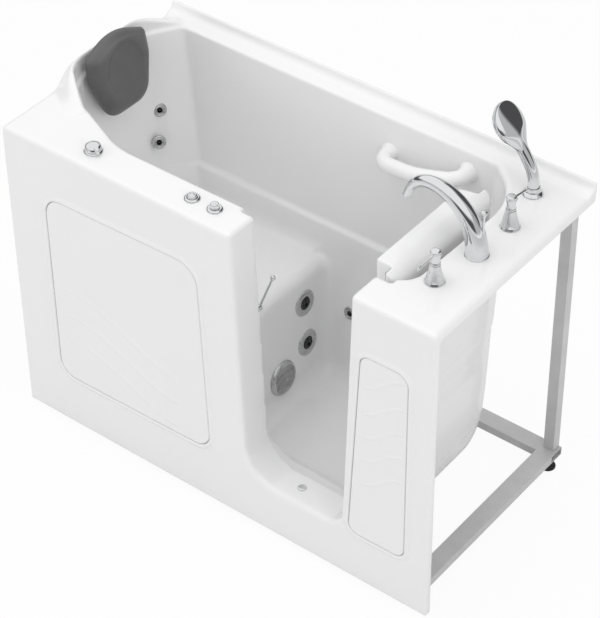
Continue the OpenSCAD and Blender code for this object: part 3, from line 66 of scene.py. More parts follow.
RECESS_LEFT, RECESS_RIGHT, RECESS_DEEP = OPEN_LEFT - FLANGE_LAP - 18, HINGE_X + 20, 74.0
LATCH_X, LATCH_Z = OPEN_LEFT - 31.5, 607.0

PANEL_FACE = -2.2
PANEL_SEAT = 3.8
BIG_C = [[-539, 182, 52], [-19, 190, 52], [-41, 792, 62], [-541, 780, 55]]
SMALL_C = [[429, 174, 30], [601, 176, 30], [601, 782, 36], [463, 780, 30]]

SPOUT_AT, HOT_AT, COLD_AT = (TAP_X + 54, 302), (TAP_X + 32, 162), (TAP_X + 57, 437)
SHOWER_AT = (TAP_X + 29, 578)
DIAL_AT, BUTTON_AT, AIR_AT = (X_HEAD + 257, 61), (X_HEAD + 577, 62), (X_HEAD + 648, 62)
DRAIN_AT, SILL_DRAIN_AT = (TAP_X - 240, 330), (OPEN_LEFT + 172, 52)
OVERFLOW_AT = (TAP_X - 3.2, 455, DECK_Z - 48)
BAR_MID, BAR_TILT, BAR_L, BAR_DIA, BAR_OUT = (TAP_X - 307, BACK_D - 4, 861), 11.0, 246.0, 41.0, 76.0
REST_AT, REST_LEAN, REST_W, REST_H = (X_HEAD + 39, MID_D + 23, 912), 8.0, 224.0, 236.0


# ---------- outlines and lofts
def unit(v):
    v = np.asarray(v, float)
    return v / np.linalg.norm(v)


def left(v):
    return np.array([-v[1], v[0]])


def smooth(t):
    u = min(1.0, max(0.0, t))
    return u * u * (3 - 2 * u)


def lerp(a, b, t):
    return a + (b - a) * t


def sincos(degrees):
    return sin(radians(degrees)), cos(radians(degrees))


def tilt(degrees):
    """The matrix of a turn about the axis that runs from front to back."""
    s, c = sincos(degrees)
    return np.array([[c, 0, s], [0, 1, 0], [-s, 0, c]])


def grown(c, e):
    """Moves each side of a corner outline [x, y, radius] outwards by e."""
    out = []
    for i in range(len(c)):
        v, p, q = (np.array(c[k % len(c)][:2], float) for k in (i, i - 1, i + 1))
        a, b = unit(v - p), unit(q - v)
        w = v - (left(a) + left(b)) * e / (1 + left(a) @ left(b))
        turn = a[0] * b[1] - a[1] * b[0]
        out.append([w[0], w[1], max(0.4, c[i][2] + e * np.sign(turn))])
    return out


def rounded(c, n=14):
    """The outline's points, with each corner an arc of n segments."""
    out = []
    for i in range(len(c)):
        v, p, q = (np.array(c[k % len(c)][:2], float) for k in (i, i - 1, i + 1))
        a, b, r = unit(v - p), unit(q - v), c[i][2]
        turn = acos(max(-1, min(1, a @ b)))
        s = np.sign(a[0] * b[1] - a[1] * b[0])
        centre = v - a * r * tan(turn / 2) + left(a) * r * s
        start = -left(a) * s
        for k in range(n + 1):
            t = s * turn * k / n
            out.append(centre + r * np.array([start[0] * cos(t) - start[1] * sin(t),
                start[0] * sin(t) + start[1] * cos(t)]))
    return np.array(out)


def mixed(a, b, t):
    return [[lerp(p, q, t) for p, q in zip(u, v)] for u, v in zip(a, b)]


def at_z(outline, z):
    return [(p[0], p[1], z) for p in outline]


def at_d(outline, d):
    return [(p[0], d, p[1]) for p in outline]


def to_world(points):
    p = np.asarray(points, float).reshape(-1, 3)
    return (p + [0, FRONT_Y, 0]) * MM


def add_object(name, data):
    ob = bpy.data.objects.new(name, data)
    scene.collection.objects.link(ob)
    return ob


def piece(name, verts, faces):
    me = bpy.data.meshes.new(name)
    me.from_pydata(to_world(verts).tolist(), [], faces)
    me.validate()
    bm = bmesh.new()
    bm.from_mesh(me)
    bmesh.ops.recalc_face_normals(bm, faces=bm.faces)
    bm.to_mesh(me)
    bm.free()
    me.shade_smooth()
    return add_object(name, me)


def ring_faces(m, n, closed=True, wrap=False):
    """Quads between m rings of n points."""
    out = []
    for k in range(m if wrap else m - 1):
        for i in range(n if closed else n - 1):
            a, b = k * n + i, k * n + (i + 1) % n
            c, d = ((k + 1) % m) * n + (i + 1) % n, ((k + 1) % m) * n + i
            out.append((a, b, c, d))
    return out


def loft(name, rings):
    """Closed solid through rings of equal length."""
    m, n = len(rings), len(rings[0])
    verts = [p for r in rings for p in r]
    faces = ring_faces(m, n) + [tuple(range(n)), tuple(range(m * n - 1, (m - 1) * n - 1, -1))]
    return piece(name, verts, faces)


def prism_z(name, outline, z0, z1):
    return loft(name, [at_z(outline, z0), at_z(outline, z1)])


def prism_d(name, outline, d0, d1):
    return loft(name, [at_d(outline, d0), at_d(outline, d1)])


def prism_x(name, profile, x0, x1):
    return loft(name, [[(x, p[0], p[1]) for p in profile] for x in (x0, x1)])


def block(name, p, q):
    return prism_z(name, [(p[0], p[1]), (q[0], p[1]), (q[0], q[1]), (p[0], q[1])], p[2], q[2])


def bake(ob):
    graph = bpy.context.evaluated_depsgraph_get()
    me = bpy.data.meshes.new_from_object(ob.evaluated_get(graph), depsgraph=graph)
    old = ob.data
    ob.modifiers.clear()
    ob.data = me
    bpy.data.meshes.remove(old)
    return ob


def drop(obs):
    for o in obs:
        me = o.data
        bpy.data.objects.remove(o)
        bpy.data.meshes.remove(me)


def boolean(ob, others, operation):
    for o in others:
        m = ob.modifiers.new("cut", "BOOLEAN")
        m.operation, m.object, m.solver = operation, o, "MANIFOLD"
    bake(ob)
    drop(others)
    return ob


def union(ob, others):
    return boolean(ob, others, "UNION")


def cut(ob, others):
    return boolean(ob, others, "DIFFERENCE")


def moulded(ob, voxel, rounds):
    """Softens a solid's edges the way a vacuum-formed skin has them."""
    m = ob.modifiers.new("voxels", "REMESH")
    m.mode, m.voxel_size, m.adaptivity = "VOXEL", voxel * MM, 0
    s = ob.modifiers.new("soften", "SMOOTH")
    s.factor, s.iterations = 0.5, rounds
    bake(ob)
    ob.data.shade_smooth()
    return ob


def joined(name, obs):
    """One mesh of several objects that lie at the origin."""
    bm = bmesh.new()
    for o in obs:
        bm.from_mesh(o.data)
    me = bpy.data.meshes.new(name)
    bm.to_mesh(me)
    bm.free()
    drop(obs)
    me.shade_smooth()
    return add_object(name, me)


def lathe(name, profile, at, axis=(0, 0, 1), sides=64, relief=None):
    """Solid of revolution. profile is [radius, height] along axis from at.

    relief(height, angle) scales the radius.
    """
    w = unit(axis)
    u = unit(np.cross([0, 1, 0] if abs(w[1]) < 0.9 else [1, 0, 0], w))
    v = np.cross(w, u)
    rings = []
    for r, h in profile:
        ring = []
        for i in range(sides):
            a = 2 * pi * i / sides
            rr = max(r, 0.02) * (relief(h, a) if relief else 1)
            ring.append(np.asarray(at, float) + w * h + (u * cos(a) + v * sin(a)) * rr)
        rings.append(ring)
    return loft(name, rings)


def cylinder(name, r, low, high, at, axis=(0, 0, 1), sides=64):
    return lathe(name, [(0, low), (r, low), (r, high), (0, high)], at, axis, sides)


def soft_profile(points, r=0.8, steps=3):
    """A lathe profile with its corners rounded by r."""
    out = [tuple(points[0])]
    for p, v, q in zip(points, points[1:], points[2:]):
        v = np.array(v, float)
        a, b = np.array(p, float) - v, np.array(q, float) - v
        k = min(r, np.linalg.norm(a) * 0.45, np.linalg.norm(b) * 0.45)
        s, e = v + unit(a) * k, v + unit(b) * k
        for t in np.linspace(0, 1, steps + 1):
            out.append(tuple((1 - t) ** 2 * s + 2 * t * (1 - t) * v + t * t * e))
    out.append(tuple(points[-1]))
    return out


def soft_lathe(name, points, at, axis=(0, 0, 1), sides=64, r=0.8, relief=None):
    return lathe(name, soft_profile(points, r), at, axis, sides, relief)


def sweep(name, centres, half_widths, half_heights, side_axis=(0, 1, 0), sides=32, power=2.0):
    """Tube of rounded section along centres. half_widths lie along side_axis."""
    centres = np.asarray(centres, float)
    rings = []
    for k in range(len(centres)):
        t = unit(centres[min(k + 1, len(centres) - 1)] - centres[max(k - 1, 0)])
        s = np.asarray(side_axis, float)
        s = unit(s - t * (s @ t))
        h = np.cross(t, s)
        ring = []
        for i in range(sides):
            a = 2 * pi * i / sides
            ca, sa = cos(a), sin(a)
            m = (abs(ca) ** power + abs(sa) ** power) ** (-1 / power)
            ring.append(centres[k] + s * half_widths[k] * ca * m + h * half_heights[k] * sa * m)
        rings.append(ring)
    return loft(name, rings)


def bezier(p, t):
    p = [np.asarray(q, float) for q in p]
    return p[0] * (1 - t) ** 3 + 3 * p[1] * t * (1 - t) ** 2 + 3 * p[2] * t * t * (1 - t) + p[3] * t ** 3


def turn_object(ob, at, degrees):
    """Turns a mesh itself about the vertical through at = (x, d), in mm."""
    centre = Vector((at[0] * MM, (at[1] + FRONT_Y) * MM, 0))
    turn = Matrix.Rotation(radians(degrees), 4, "Z")
    ob.data.transform(Matrix.Translation(centre) @ turn @ Matrix.Translation(-centre))
    ob.data.update()
    return ob


# ---------- the well
# Outlines of the well from the deck down, as corners [x, d, radius], drawn round the back from the taps.
RIM_C = [[TAP_X - 10, FRONT_RIM + 2, 60], [TAP_X, MID_D + 173, 189.6], [TAP_X - 107, BACK_D, 4],
    [REST_X + 63, BACK_D, 16], [REST_X, MID_D + 165, 120], [REST_X, MID_D - 105, 90],
    [REST_X + 95, FRONT_RIM + 78, 240], [REST_X + 275, FRONT_RIM, 240]]
ABOVE_C = [[TAP_X - 24, FRONT_RIM + 18, 60], [TAP_X - 26, MID_D + 158, 115], [TAP_X - 120, BACK_D - 18, 6],
    [REST_X + 115, BACK_D - 18, 16], [REST_X + 42, MID_D + 150, 120], [REST_X + 42, MID_D - 95, 90],
    [REST_X + 130, FRONT_RIM + 78, 160], [REST_X + 275, FRONT_RIM + 18, 200]]
BELOW_C = [[p[0], p[1] - (LEDGE_W if i in (2, 3) else 0), p[2]] for i, p in enumerate(ABOVE_C)]
SEAT_C = [[TAP_X - 28, FRONT_RIM + 22, 60], [TAP_X - 32, MID_D + 157, 92], [TAP_X - 124, BACK_D - 36, 8],
    [REST_X + 130, BACK_D - 36, 18], [REST_X + 62, MID_D + 140, 115], [REST_X + 62, MID_D - 90, 90],
    [REST_X + 150, FRONT_RIM + 80, 150], [REST_X + 275, FRONT_RIM + 22, 180]]
FOOT_LOW_C = [[TAP_X - 88, FRONT_RIM + 30, 46], [TAP_X - 92, MID_D + 138, 90], [TAP_X - 160, BACK_D - 84, 40],
    [SEAT_X + 36, BACK_D - 84, 44], [SEAT_X + 36, FRONT_RIM + 52, 44]]
RISE_START = REST_X + 150


def well_c(z):
    if z >= LEDGE_Z + LEDGE_STEP:
        return mixed(ABOVE_C, RIM_C, (z - LEDGE_Z - LEDGE_STEP) / (DECK_Z - LEDGE_Z - LEDGE_STEP))
    if z >= LEDGE_Z:
        return mixed(BELOW_C, ABOVE_C, smooth((z - LEDGE_Z) / LEDGE_STEP))
    return mixed(SEAT_C, BELOW_C, (z - SEAT_Z) / (LEDGE_Z - SEAT_Z))


def rise(x, d):
    return (HEAD_RISE * smooth((RISE_START - x) / 130) * (0.35 + 0.65 * smooth((BACK_D - 12 - d) / 120))
        * smooth((BACK_D + 4 - d) / 16))


def well_ring(z, e):
    return at_z(rounded(grown(well_c(z), e)), z)


def rim_ring(dz, e):
    return [(p[0], p[1], DECK_Z + rise(p[0], p[1]) + dz) for p in rounded(grown(well_c(DECK_Z), e))]


def upper_well(name, grow):
    rings = []
    for a in np.linspace(0, 90, 10):
        s, c = sincos(a)
        rings.append(well_ring(SEAT_Z - grow + (SEAT_FILLET + grow) * (1 - c),
            grow - (SEAT_FILLET + grow) * (1 - s)))
    heights = [495, LEDGE_Z - 3, LEDGE_Z, LEDGE_Z + 2.5, LEDGE_Z + 5, LEDGE_Z + 7.5, LEDGE_Z + LEDGE_STEP,
        LEDGE_Z + 14, 570, 610, 655, 700, 745, 790, 830, 870]
    rings += [well_ring(z, grow) for z in heights]
    if grow > 0:
        rings.append(well_ring(DECK_Z - 1, grow))
    else:
        rings.append(rim_ring(-2.2 * FLARE_R, 0))
        for a in np.linspace(0, 90, 8):
            s, c = sincos(a)
            rings.append(rim_ring(-FLARE_R * (1 - s), FLARE_R * (1 - c)))
        rings.append(at_z(rounded(grown(RIM_C, FLARE_R)), DECK_Z + HEAD_RISE + 40))
    return loft(name, rings)


def foot_over(z):
    c = well_c(z)
    return [c[0], c[1], c[2], [SEAT_X + 4, c[2][1], 26], [SEAT_X - 4, c[0][1], 30]]


def foot_c(z):
    t = max(0.0, (SEAT_Z - z) / (SEAT_Z - FLOOR_Z))
    out = []
    for i, (a, b) in enumerate(zip(foot_over(SEAT_Z), FOOT_LOW_C)):
        u = t ** 5 if i < 3 else t
        out.append([lerp(a[0], b[0], u), lerp(a[1], b[1], t if i == 2 else u), lerp(a[2], b[2], u)])
    return out


def rolled(c, e):
    return [[p[0] - (e if i >= 3 else 0), p[1], p[2]] for i, p in enumerate(c)]


def foot_well(name, grow):
    rings = []
    for a in np.linspace(0, 90, 11):
        s, c = sincos(a)
        z = FLOOR_Z - grow + (FLOOR_FILLET + grow) * (1 - c)
        rings.append(at_z(rounded(grown(foot_c(z), grow - (FLOOR_FILLET + grow) * (1 - s))), z))
    rings += [at_z(rounded(grown(foot_c(z), grow)), z) for z in (145, 170, 195, 220, 255, 290, 320, 350, 375)]
    for a in np.linspace(0, 90, 9):
        s, c = sincos(a)
        z = SEAT_Z - EDGE_ROLL * (1 - s)
        rings.append(at_z(rounded(grown(rolled(foot_c(z), EDGE_ROLL * (1 - c)), grow)),
            z - grow * (0.6 if a < 80 else 0.5)))
    for z in (455, SEAT_Z + SEAT_FILLET + (6 if grow > 0 else 4)):
        rings.append(at_z(rounded(grown(rolled(foot_over(z), EDGE_ROLL), grow + 0.15)), z))
    return loft(name, rings)


# ---------- door opening
OPENING_C = [[OPEN_LEFT + 30, SILL_Z, 105], [OPEN_RIGHT - 26, SILL_Z, 50], [OPEN_RIGHT + 3, OPEN_TOP, 1],
    [OPEN_LEFT - 3, OPEN_TOP, 1]]
RECESS_C = [[RECESS_LEFT, SILL_Z - FLANGE_DROP - 6, 120], [RECESS_RIGHT, SILL_Z - FLANGE_DROP - 6, 60],
    [RECESS_RIGHT, OPEN_TOP, 1], [RECESS_LEFT, OPEN_TOP, 1]]
OPENING_FLARE = 11.0


def quarter(r, x):
    """How far a quarter round of radius r stands back at x from its flat."""
    return r - sqrt(max(0.0, r * r - (r - x) ** 2)) if x < r else 0.0


def below_deck(outline):
    """The outline with nothing above the middle of the deck's thickness."""
    return [(p[0], min(p[1], DECK_Z - SHELL_T / 2)) for p in outline]


def opening_cutter():
    steps = [-3, -1] + [OPENING_FLARE * (1 - cos(radians(a))) for a in range(0, 91, 10)] + [SEAL_D + 1]
    return loft("cutter", [at_d(rounded(grown(OPENING_C, quarter(OPENING_FLARE, max(d, 0)))), d)
        for d in steps])


def top_flare_cutter():
    """Rounds the deck's edge down both sides of the opening."""
    rings = []
    r = FLARE_R
    for dz in [4.0, 0.0] + [-r * (1 - cos(radians(a))) for a in range(15, 91, 15)]:
        e = quarter(r, max(0.0, -dz)) if dz < 0 else r
        z = DECK_Z + dz
        x0, x1 = OPEN_LEFT - 0.3 - e, OPEN_RIGHT + 0.3 + e
        rings.append([(x0, -20, z), (x1, -20, z), (x1, SEAL_D + 4, z), (x0, SEAL_D + 4, z)])
    return loft("cutter", rings)


# ---------- moulding: deck, well and front
def make_moulding():
    deck_c = [[X_TAP, 0, 3], [X_TAP, BATH_D, 3], [X_HEAD, BATH_D, 3], [X_HEAD, 0, 3]]
    rings = [at_z(rounded(grown(deck_c, 0), 4), DECK_Z - LIP_H - 6)]
    for a in range(0, 91, 15):
        s, c = sincos(a)
        rings.append(at_z(rounded(grown(deck_c, -EDGE_R * (1 - c)), 4), DECK_Z - EDGE_R * (1 - s)))
    body = loft("moulding", rings)
    cut(body, [block("cutter", (X_HEAD + SHELL_T, SHELL_T, DECK_Z - 80),
        (X_TAP - SHELL_T, BATH_D - SHELL_T, DECK_Z - SHELL_T))])
    w = BATH_D - UP_W
    profile = [(w - 8, DECK_Z - SHELL_T / 2), (w, DECK_Z - 0.5), (w + 2, DECK_Z + 4), (w + 6, DECK_Z + 6)]
    profile += [(w + 6 + (UP_W - 14) * sin(radians(a)), DECK_Z + 6 + (UP_H - 9) * (1 - cos(radians(a))))
        for a in range(8, 91, 8)]
    profile += [(BATH_D - 7, DECK_Z + UP_H - 1), (BATH_D - 5, DECK_Z + UP_H), (BATH_D, DECK_Z + UP_H),
        (BATH_D, DECK_Z - SHELL_T / 2)]
    parts = [prism_x("up", profile, X_HEAD, X_TAP), make_ridge(), upper_well("well", SHELL_T),
        foot_well("foot", SHELL_T)]
    parts.append(loft("collar", [at_d(below_deck(rounded(grown(OPENING_C, SHELL_T))), d) for d in (4, SEAL_D)]))
    parts.append(loft("collar", [at_d(below_deck(rounded(grown(RECESS_C, SHELL_T))), d)
        for d in (SEAL_D - SHELL_T, SEAL_D + RECESS_DEEP)]))
    parts.append(block("skirt", (X_HEAD, 0, SKIRT_GAP), (X_TAP, SHELL_T, DECK_Z - LIP_H)))
    for x in (X_HEAD, X_TAP - SHELL_T):
        parts.append(block("return", (x, 0, SKIRT_GAP), (x + SHELL_T, RETURN_D, DECK_Z - LIP_H)))
    union(body, parts)
    cutters = [upper_well("cutter", 0), foot_well("cutter", 0), opening_cutter(), top_flare_cutter(),
        loft("cutter", [at_d(rounded(RECESS_C), d) for d in (SEAL_D, SEAL_D + RECESS_DEEP + 1)])]
    cutters += [prism_d("cutter", rounded(grown(c, 10)), -3, 14) for c in (BIG_C, SMALL_C)]
    cut(body, cutters)
    return moulded(body, 4, 7)


def make_ridge():
    """Raised rim round the head end."""
    back = BATH_D - UP_W + 3
    base = DECK_Z - 5
    spread = [FLARE_R - 3, FLARE_R, 13, 17, 22, 28, 35, 42, 50, 58, 66, 74]
    lift = [0, 0.99, 1.03, 1.02, 0.96, 0.86, 0.7, 0.5, 0.31, 0.15, 0.05, 0]
    grown_paths = [rounded(grown(RIM_C, e)) for e in spread]
    whole = rounded(RIM_C)
    rings = []
    for i in range(len(whole)):
        if whole[i][0] >= RISE_START + 40:
            continue
        h = rise(whole[i][0], whole[i][1])
        ring = []
        for k, path in enumerate(grown_paths):
            q = path[i]
            ring.append((max(q[0], X_HEAD + 3), min(q[1], back), base if k == 0
                else max(base, DECK_Z - 3 + (h + 3) * lift[k])))
        q, r = grown_paths[-1][i], grown_paths[0][i]
        ring += [(max(q[0], X_HEAD + 3), min(q[1], back), base - 1), (r[0], r[1], base - 1)]
        rings.append(ring)
    return loft("ridge", rings)


def bead_ring(name, c):
    """The raised bead round a panel, with the ledge that the panel lies against."""
    profile = [(-12, 9), (-12, 4.1), (1.5, 4.1), (1.9, 3.2), (2.0, -1.2), (2.5, -2.7), (3.6, -3.6), (5.2, -4.0),
        (7.6, -4.0), (9.6, -3.6), (12, -2.6), (14.2, -1.4), (16.5, -0.5), (19, 0.1), (21, 0.5), (21, 6),
        (14, 9)]
    rings = [at_d(rounded(grown(c, e), 16), d) for e, d in profile]
    m, n = len(rings), len(rings[0])
    return piece(name, [p for r in rings for p in r], ring_faces(m, n, wrap=True))


# ---------- access panels
def wave_line(x0, x1, z_mid, swing, phase=0.0):
    """Centre line of one wave of the relief, as points [x, z, half width]."""
    return [(lerp(x0, x1, t), z_mid + swing * cos(radians(180 * t - phase)), 2.4 + 4.0 * sin(pi * t))
        for t in np.linspace(0, 1, 29)]


# Each wave: its two ends in x, its height, its swing and its phase in degrees.
BIG_WAVES = [wave_line(-500, -125, z, 57, 14) for z in (436, 350, 268)]
SMALL_WAVES = [wave_line(472, 588, z, -34) for z in (719, 635, 556, 478, 398)]
WAVE_H = 1.5


def panel(name, c, waves, step):
    """A thin panel with a rounded edge and soft raised waves."""
    outline = rounded(c, 20)
    z0, z1 = outline[:, 1].min(), outline[:, 1].max()
    n = len(outline)
    rows = max(24, int((z1 - z0) / step))
    zs = z0 + (z1 - z0) * (0.5 - 0.5 * np.cos(np.pi * (0.0008 + 0.9984 * np.linspace(0, 1, rows + 1))))
    zs = 0.35 * zs + 0.65 * np.linspace(z0 + 0.02, z1 - 0.02, rows + 1)
    cols = max(20, int((outline[:, 0].max() - outline[:, 0].min()) / step))
    us = 0.3 * (0.5 - 0.5 * np.cos(np.pi * np.linspace(0, 1, cols + 1))) + 0.7 * np.linspace(0, 1, cols + 1)
    px, pz = np.zeros((rows + 1, cols + 1)), np.zeros((rows + 1, cols + 1))
    for j, z in enumerate(zs):
        xs = []
        for i in range(n):
            a, b = outline[i], outline[(i + 1) % n]
            if (a[1] - z) * (b[1] - z) <= 0 and a[1] != b[1]:
                xs.append(lerp(a[0], b[0], (z - a[1]) / (b[1] - a[1])))
        px[j] = lerp(min(xs), max(xs), us)
        pz[j] = z
    flat = np.stack([px.ravel(), pz.ravel()], 1)
    a, b = outline, np.roll(outline, -1, 0)
    edge = np.full(len(flat), 1e9)
    for p, q in zip(a, b):
        v = q - p
        t = np.clip(((flat - p) @ v) / max(v @ v, 1e-9), 0, 1)
        edge = np.minimum(edge, np.linalg.norm(flat - (p + t[:, None] * v), axis=1))
    round_r = 2.6
    e = np.clip(edge, 0, round_r)
    depth = PANEL_FACE + round_r - np.sqrt(np.maximum(0, round_r ** 2 - (round_r - e) ** 2))
    for line in np.array(waves):
        best = np.zeros(len(flat))
        for p, q in zip(line, line[1:]):
            v = q[:2] - p[:2]
            t = np.clip(((flat - p[:2]) @ v) / (v @ v), 0, 1)
            r = np.linalg.norm(flat - (p[:2] + t[:, None] * v), axis=1) / (p[2] + t * (q[2] - p[2])) / 1.25
            best = np.maximum(best, np.clip(1 - r * r, 0, 1) ** 1.6)
        depth -= WAVE_H * best
    m, k = rows + 1, cols + 1
    verts = [(flat[i][0], depth[i], flat[i][1]) for i in range(m * k)]
    faces = ring_faces(m, k, closed=False)
    rim = [*range(k), *range(2 * k - 1, m * k, k), *range(m * k - 2, (m - 1) * k - 1, -1),
        *range((m - 2) * k, 0, -k)]
    base = len(verts)
    verts += [(flat[i][0], PANEL_SEAT - 0.35, flat[i][1]) for i in rim]
    w = len(rim)
    faces += [(rim[i], rim[(i + 1) % w], base + (i + 1) % w, base + i) for i in range(w)]
    faces.append(tuple(base + i for i in range(w)))
    return piece(name, verts, faces)


# ---------- door, made shut and hung open
DOOR_C = [[OPEN_LEFT + 30 + DOOR_CLEAR + 12, SILL_Z + DOOR_CLEAR + 1, 100],
    [OPEN_RIGHT - 26 - DOOR_CLEAR, SILL_Z + DOOR_CLEAR + 1, 46], [OPEN_RIGHT - DOOR_CLEAR, DECK_Z, 1],
    [OPEN_LEFT + DOOR_CLEAR + 12, DECK_Z, 1]]
DOOR_BACK_C = [[p[0] - (11 if i in (0, 3) else 0), p[1], p[2]] for i, p in enumerate(DOOR_C)]
FLANGE_D = SEAL_D + SEAL_GAP
DOOR_IN_D = FLANGE_D + DOOR_SKIN
FLANGE_L, FLANGE_R = OPEN_LEFT - FLANGE_LAP + 2, HINGE_X - 2.5
FLANGE_C = [[FLANGE_L, SILL_Z - FLANGE_DROP, 115], [FLANGE_R, SILL_Z - FLANGE_DROP, 60], [FLANGE_R, DECK_Z, 1],
    [FLANGE_L, DECK_Z, 1]]
INNER_C = [[FLANGE_L + 26, SILL_Z + 190, 100], [FLANGE_R - 16, SILL_Z + 190, 50],
    [FLANGE_R - 16, DECK_Z + 1, 1], [FLANGE_L + 26, DECK_Z + 1, 1]]
TOP_ROUND = 44.0
HINGE_ZS = (290.0, 505.0, 720.0)
HINGE_H, HINGE_POCKET = 60.0, 12.0


def hang(ob):
    return turn_object(ob, (HINGE_X, HINGE_D), -90)


def over_door_top():
    """What the rounded inner top edge leaves out, as a cutter."""
    arc = [(DOOR_IN_D - TOP_ROUND + TOP_ROUND * cos(radians(a)),
        DECK_Z - TOP_ROUND + TOP_ROUND * sin(radians(a))) for a in range(0, 91, 6)]
    profile = arc + [(0, DECK_Z), (0, DECK_Z + 60), (DOOR_IN_D + 40, DECK_Z + 60),
        (DOOR_IN_D + 40, DECK_Z - TOP_ROUND)]
    return prism_x("cutter", profile, OPEN_LEFT - 200, OPEN_RIGHT + 200)


def front_top_cutter():
    """Rounds the door's outer top edge."""
    front, r = DOOR_FRONT, 7.0
    arc = [(front + r - r * sin(radians(a)), DECK_Z - r + r * cos(radians(a))) for a in range(0, 91, 10)]
    profile = arc + [(front - 5, DECK_Z - r), (front - 5, DECK_Z + 20), (front + r, DECK_Z + 20)]
    return prism_x("cutter", profile, OPEN_LEFT - 200, OPEN_RIGHT + 200)


def make_door():
    """Outer and inner skin of the door as one moulding."""
    r = 6.0
    rings = [at_d(rounded(grown(DOOR_C, -r * (1 - sin(radians(a))))), DOOR_FRONT + r * (1 - cos(radians(a))))
        for a in range(0, 91, 15)]
    rings.append(at_d(rounded(DOOR_BACK_C), FLANGE_D + 1))
    body = loft("door_skin", rings)
    rings = [at_d(rounded(grown(FLANGE_C, -3)), FLANGE_D), at_d(rounded(grown(FLANGE_C, -0.9)), FLANGE_D + 0.9),
        at_d(rounded(FLANGE_C), FLANGE_D + 3)]
    rings += [at_d(rounded(mixed(FLANGE_C, INNER_C, 1 - cos(radians(a)))),
        FLANGE_D + 8 + (DOOR_SKIN - 8) * sin(radians(a))) for a in range(0, 91, 10)]
    union(body, [loft("inner", rings)])
    cut(body, [over_door_top(), front_top_cutter()])
    moulded(body, 3, 11)
    pockets = [block("cutter", (HINGE_X - HINGE_POCKET, FLANGE_D - 1, z - HINGE_H / 2 - 3),
        (HINGE_X + 20, DOOR_IN_D + 1, z + HINGE_H / 2 + 3)) for z in HINGE_ZS]
    strike = block("cutter", (FLANGE_L + 1.2, DOOR_IN_D - 7.3, LATCH_Z - 19.3),
        (FLANGE_L + 30.3, DOOR_IN_D + 8, LATCH_Z + 19.3))
    cut(body, pockets + [strike])
    return hang(body)


def make_door_seal():
    """A bulb seal round the flange, stopping short of the top."""
    keep = [p for p in rounded(grown(FLANGE_C, -8), 24) if p[1] < DECK_Z - 6]
    start = int(np.argmax([np.linalg.norm(np.array(keep[i]) - keep[i - 1]) for i in range(len(keep))]))
    line = keep[start:] + keep[:start]
    line = [(line[0][0], DECK_Z - 5)] + line + [(line[-1][0], DECK_Z - 5)]
    fine = []
    for p, q in zip(line, line[1:]):
        n = max(1, int(np.linalg.norm(np.array(q) - p) / 14))
        fine += [lerp(np.array(p, float), np.array(q, float), k / n) for k in range(n)]
    fine.append(np.array(line[-1], float))
    centres = [(p[0], SEAL_D + 1.45, p[1]) for p in fine]
    n = len(centres)
    ob = sweep("door_seal_bulb", centres, [1.15] * n, [4.6] * n, side_axis=(0, 1, 0), sides=20, power=2.6)
    return hang(ob)


# ---------- fittings
SPOUT_REACH, SPOUT_H = 204, 160
SPOUT_TIP = np.array([SPOUT_AT[0] - SPOUT_REACH, SPOUT_AT[1], DECK_Z + SPOUT_H * 0.53])


def on_deck(p):
    return (p[0], p[1], DECK_Z)


def make_spout():
    """Arched filler with a turned-in lip and a bored end."""
    foot = np.array([*SPOUT_AT, DECK_Z + 2.0])
    tip = SPOUT_TIP
    ctrl = [foot, foot + [0, 0, SPOUT_H * 0.92], tip + [SPOUT_REACH * 0.14, 0, SPOUT_H * 0.76], tip]
    steps = 90
    t = np.linspace(0, 1, steps + 1)
    centres = [bezier(ctrl, k) for k in t]
    radii = [11.8 + 17.2 * (1 - k) ** 1.15 for k in t]
    end = unit(centres[-1] - centres[-2])
    tip_r = radii[-1]
    profile = [(0.5, tip_r + 0.35), (1.6, tip_r + 0.4), (2.6, tip_r - 0.2), (3.0, tip_r - 1.2),
        (2.8, tip_r - 2.2), (-5.0, tip_r - 2.8), (-5.0, 2)]
    for h, r in profile:
        centres.append(centres[steps] + end * h)
        radii.append(r)
    rings = []
    for k, (c, r) in enumerate(zip(centres, radii)):
        d = unit(centres[min(k + 1, steps)] - centres[max(k - 1, 0)]) if k <= steps else end
        s = np.array([0.0, 1.0, 0.0])
        h = np.cross(d, s)
        rings.append([c + r * (s * cos(a) + h * sin(a)) for a in np.linspace(0, 2 * pi, 48, endpoint=False)])
    tube = loft("spout", rings)
    flange = soft_lathe("spout_flange", [(0, 0.1), (30.5, 0.1), (30.5, 1.6), (29.2, 3.2), (0, 3.6)],
        on_deck(SPOUT_AT), sides=72)
    shank = cylinder("spout_shank", 14, -60, 0.5, on_deck(SPOUT_AT))
    return joined("spout_arch", [tube, flange, shank])


def make_aerator():
    tip = SPOUT_TIP
    s, c = sincos(10)
    axis = (s, 0, c)
    body = soft_lathe("aerator", [(0, -1.2), (8.3, -1.2), (8.7, 0.2), (8.7, 6), (0, 6)], tip, axis, 48, r=0.4)
    cutters = []
    for ring, count in ((2.6, 6), (5.6, 12)):
        for i in range(count):
            a = 2 * pi * i / count
            at = tip + np.array([ring * cos(a), ring * sin(a), 0])
            cutters.append(cylinder("cutter", 1.0, -3, 2, at, axis, 12))
    return cut(body, cutters)


def make_lift_knob():
    at = (SPOUT_AT[0] + 13, SPOUT_AT[1] + 3, DECK_Z + 40)
    return soft_lathe("lift_knob", [(0, 0), (3, 0.2), (3, 72), (3.6, 75), (4.4, 77), (4.6, 81), (7.6, 84.4),
        (8.8, 87), (8.6, 89.4), (7.2, 91.2), (3, 92), (0, 92)], at, sides=48, r=0.9)


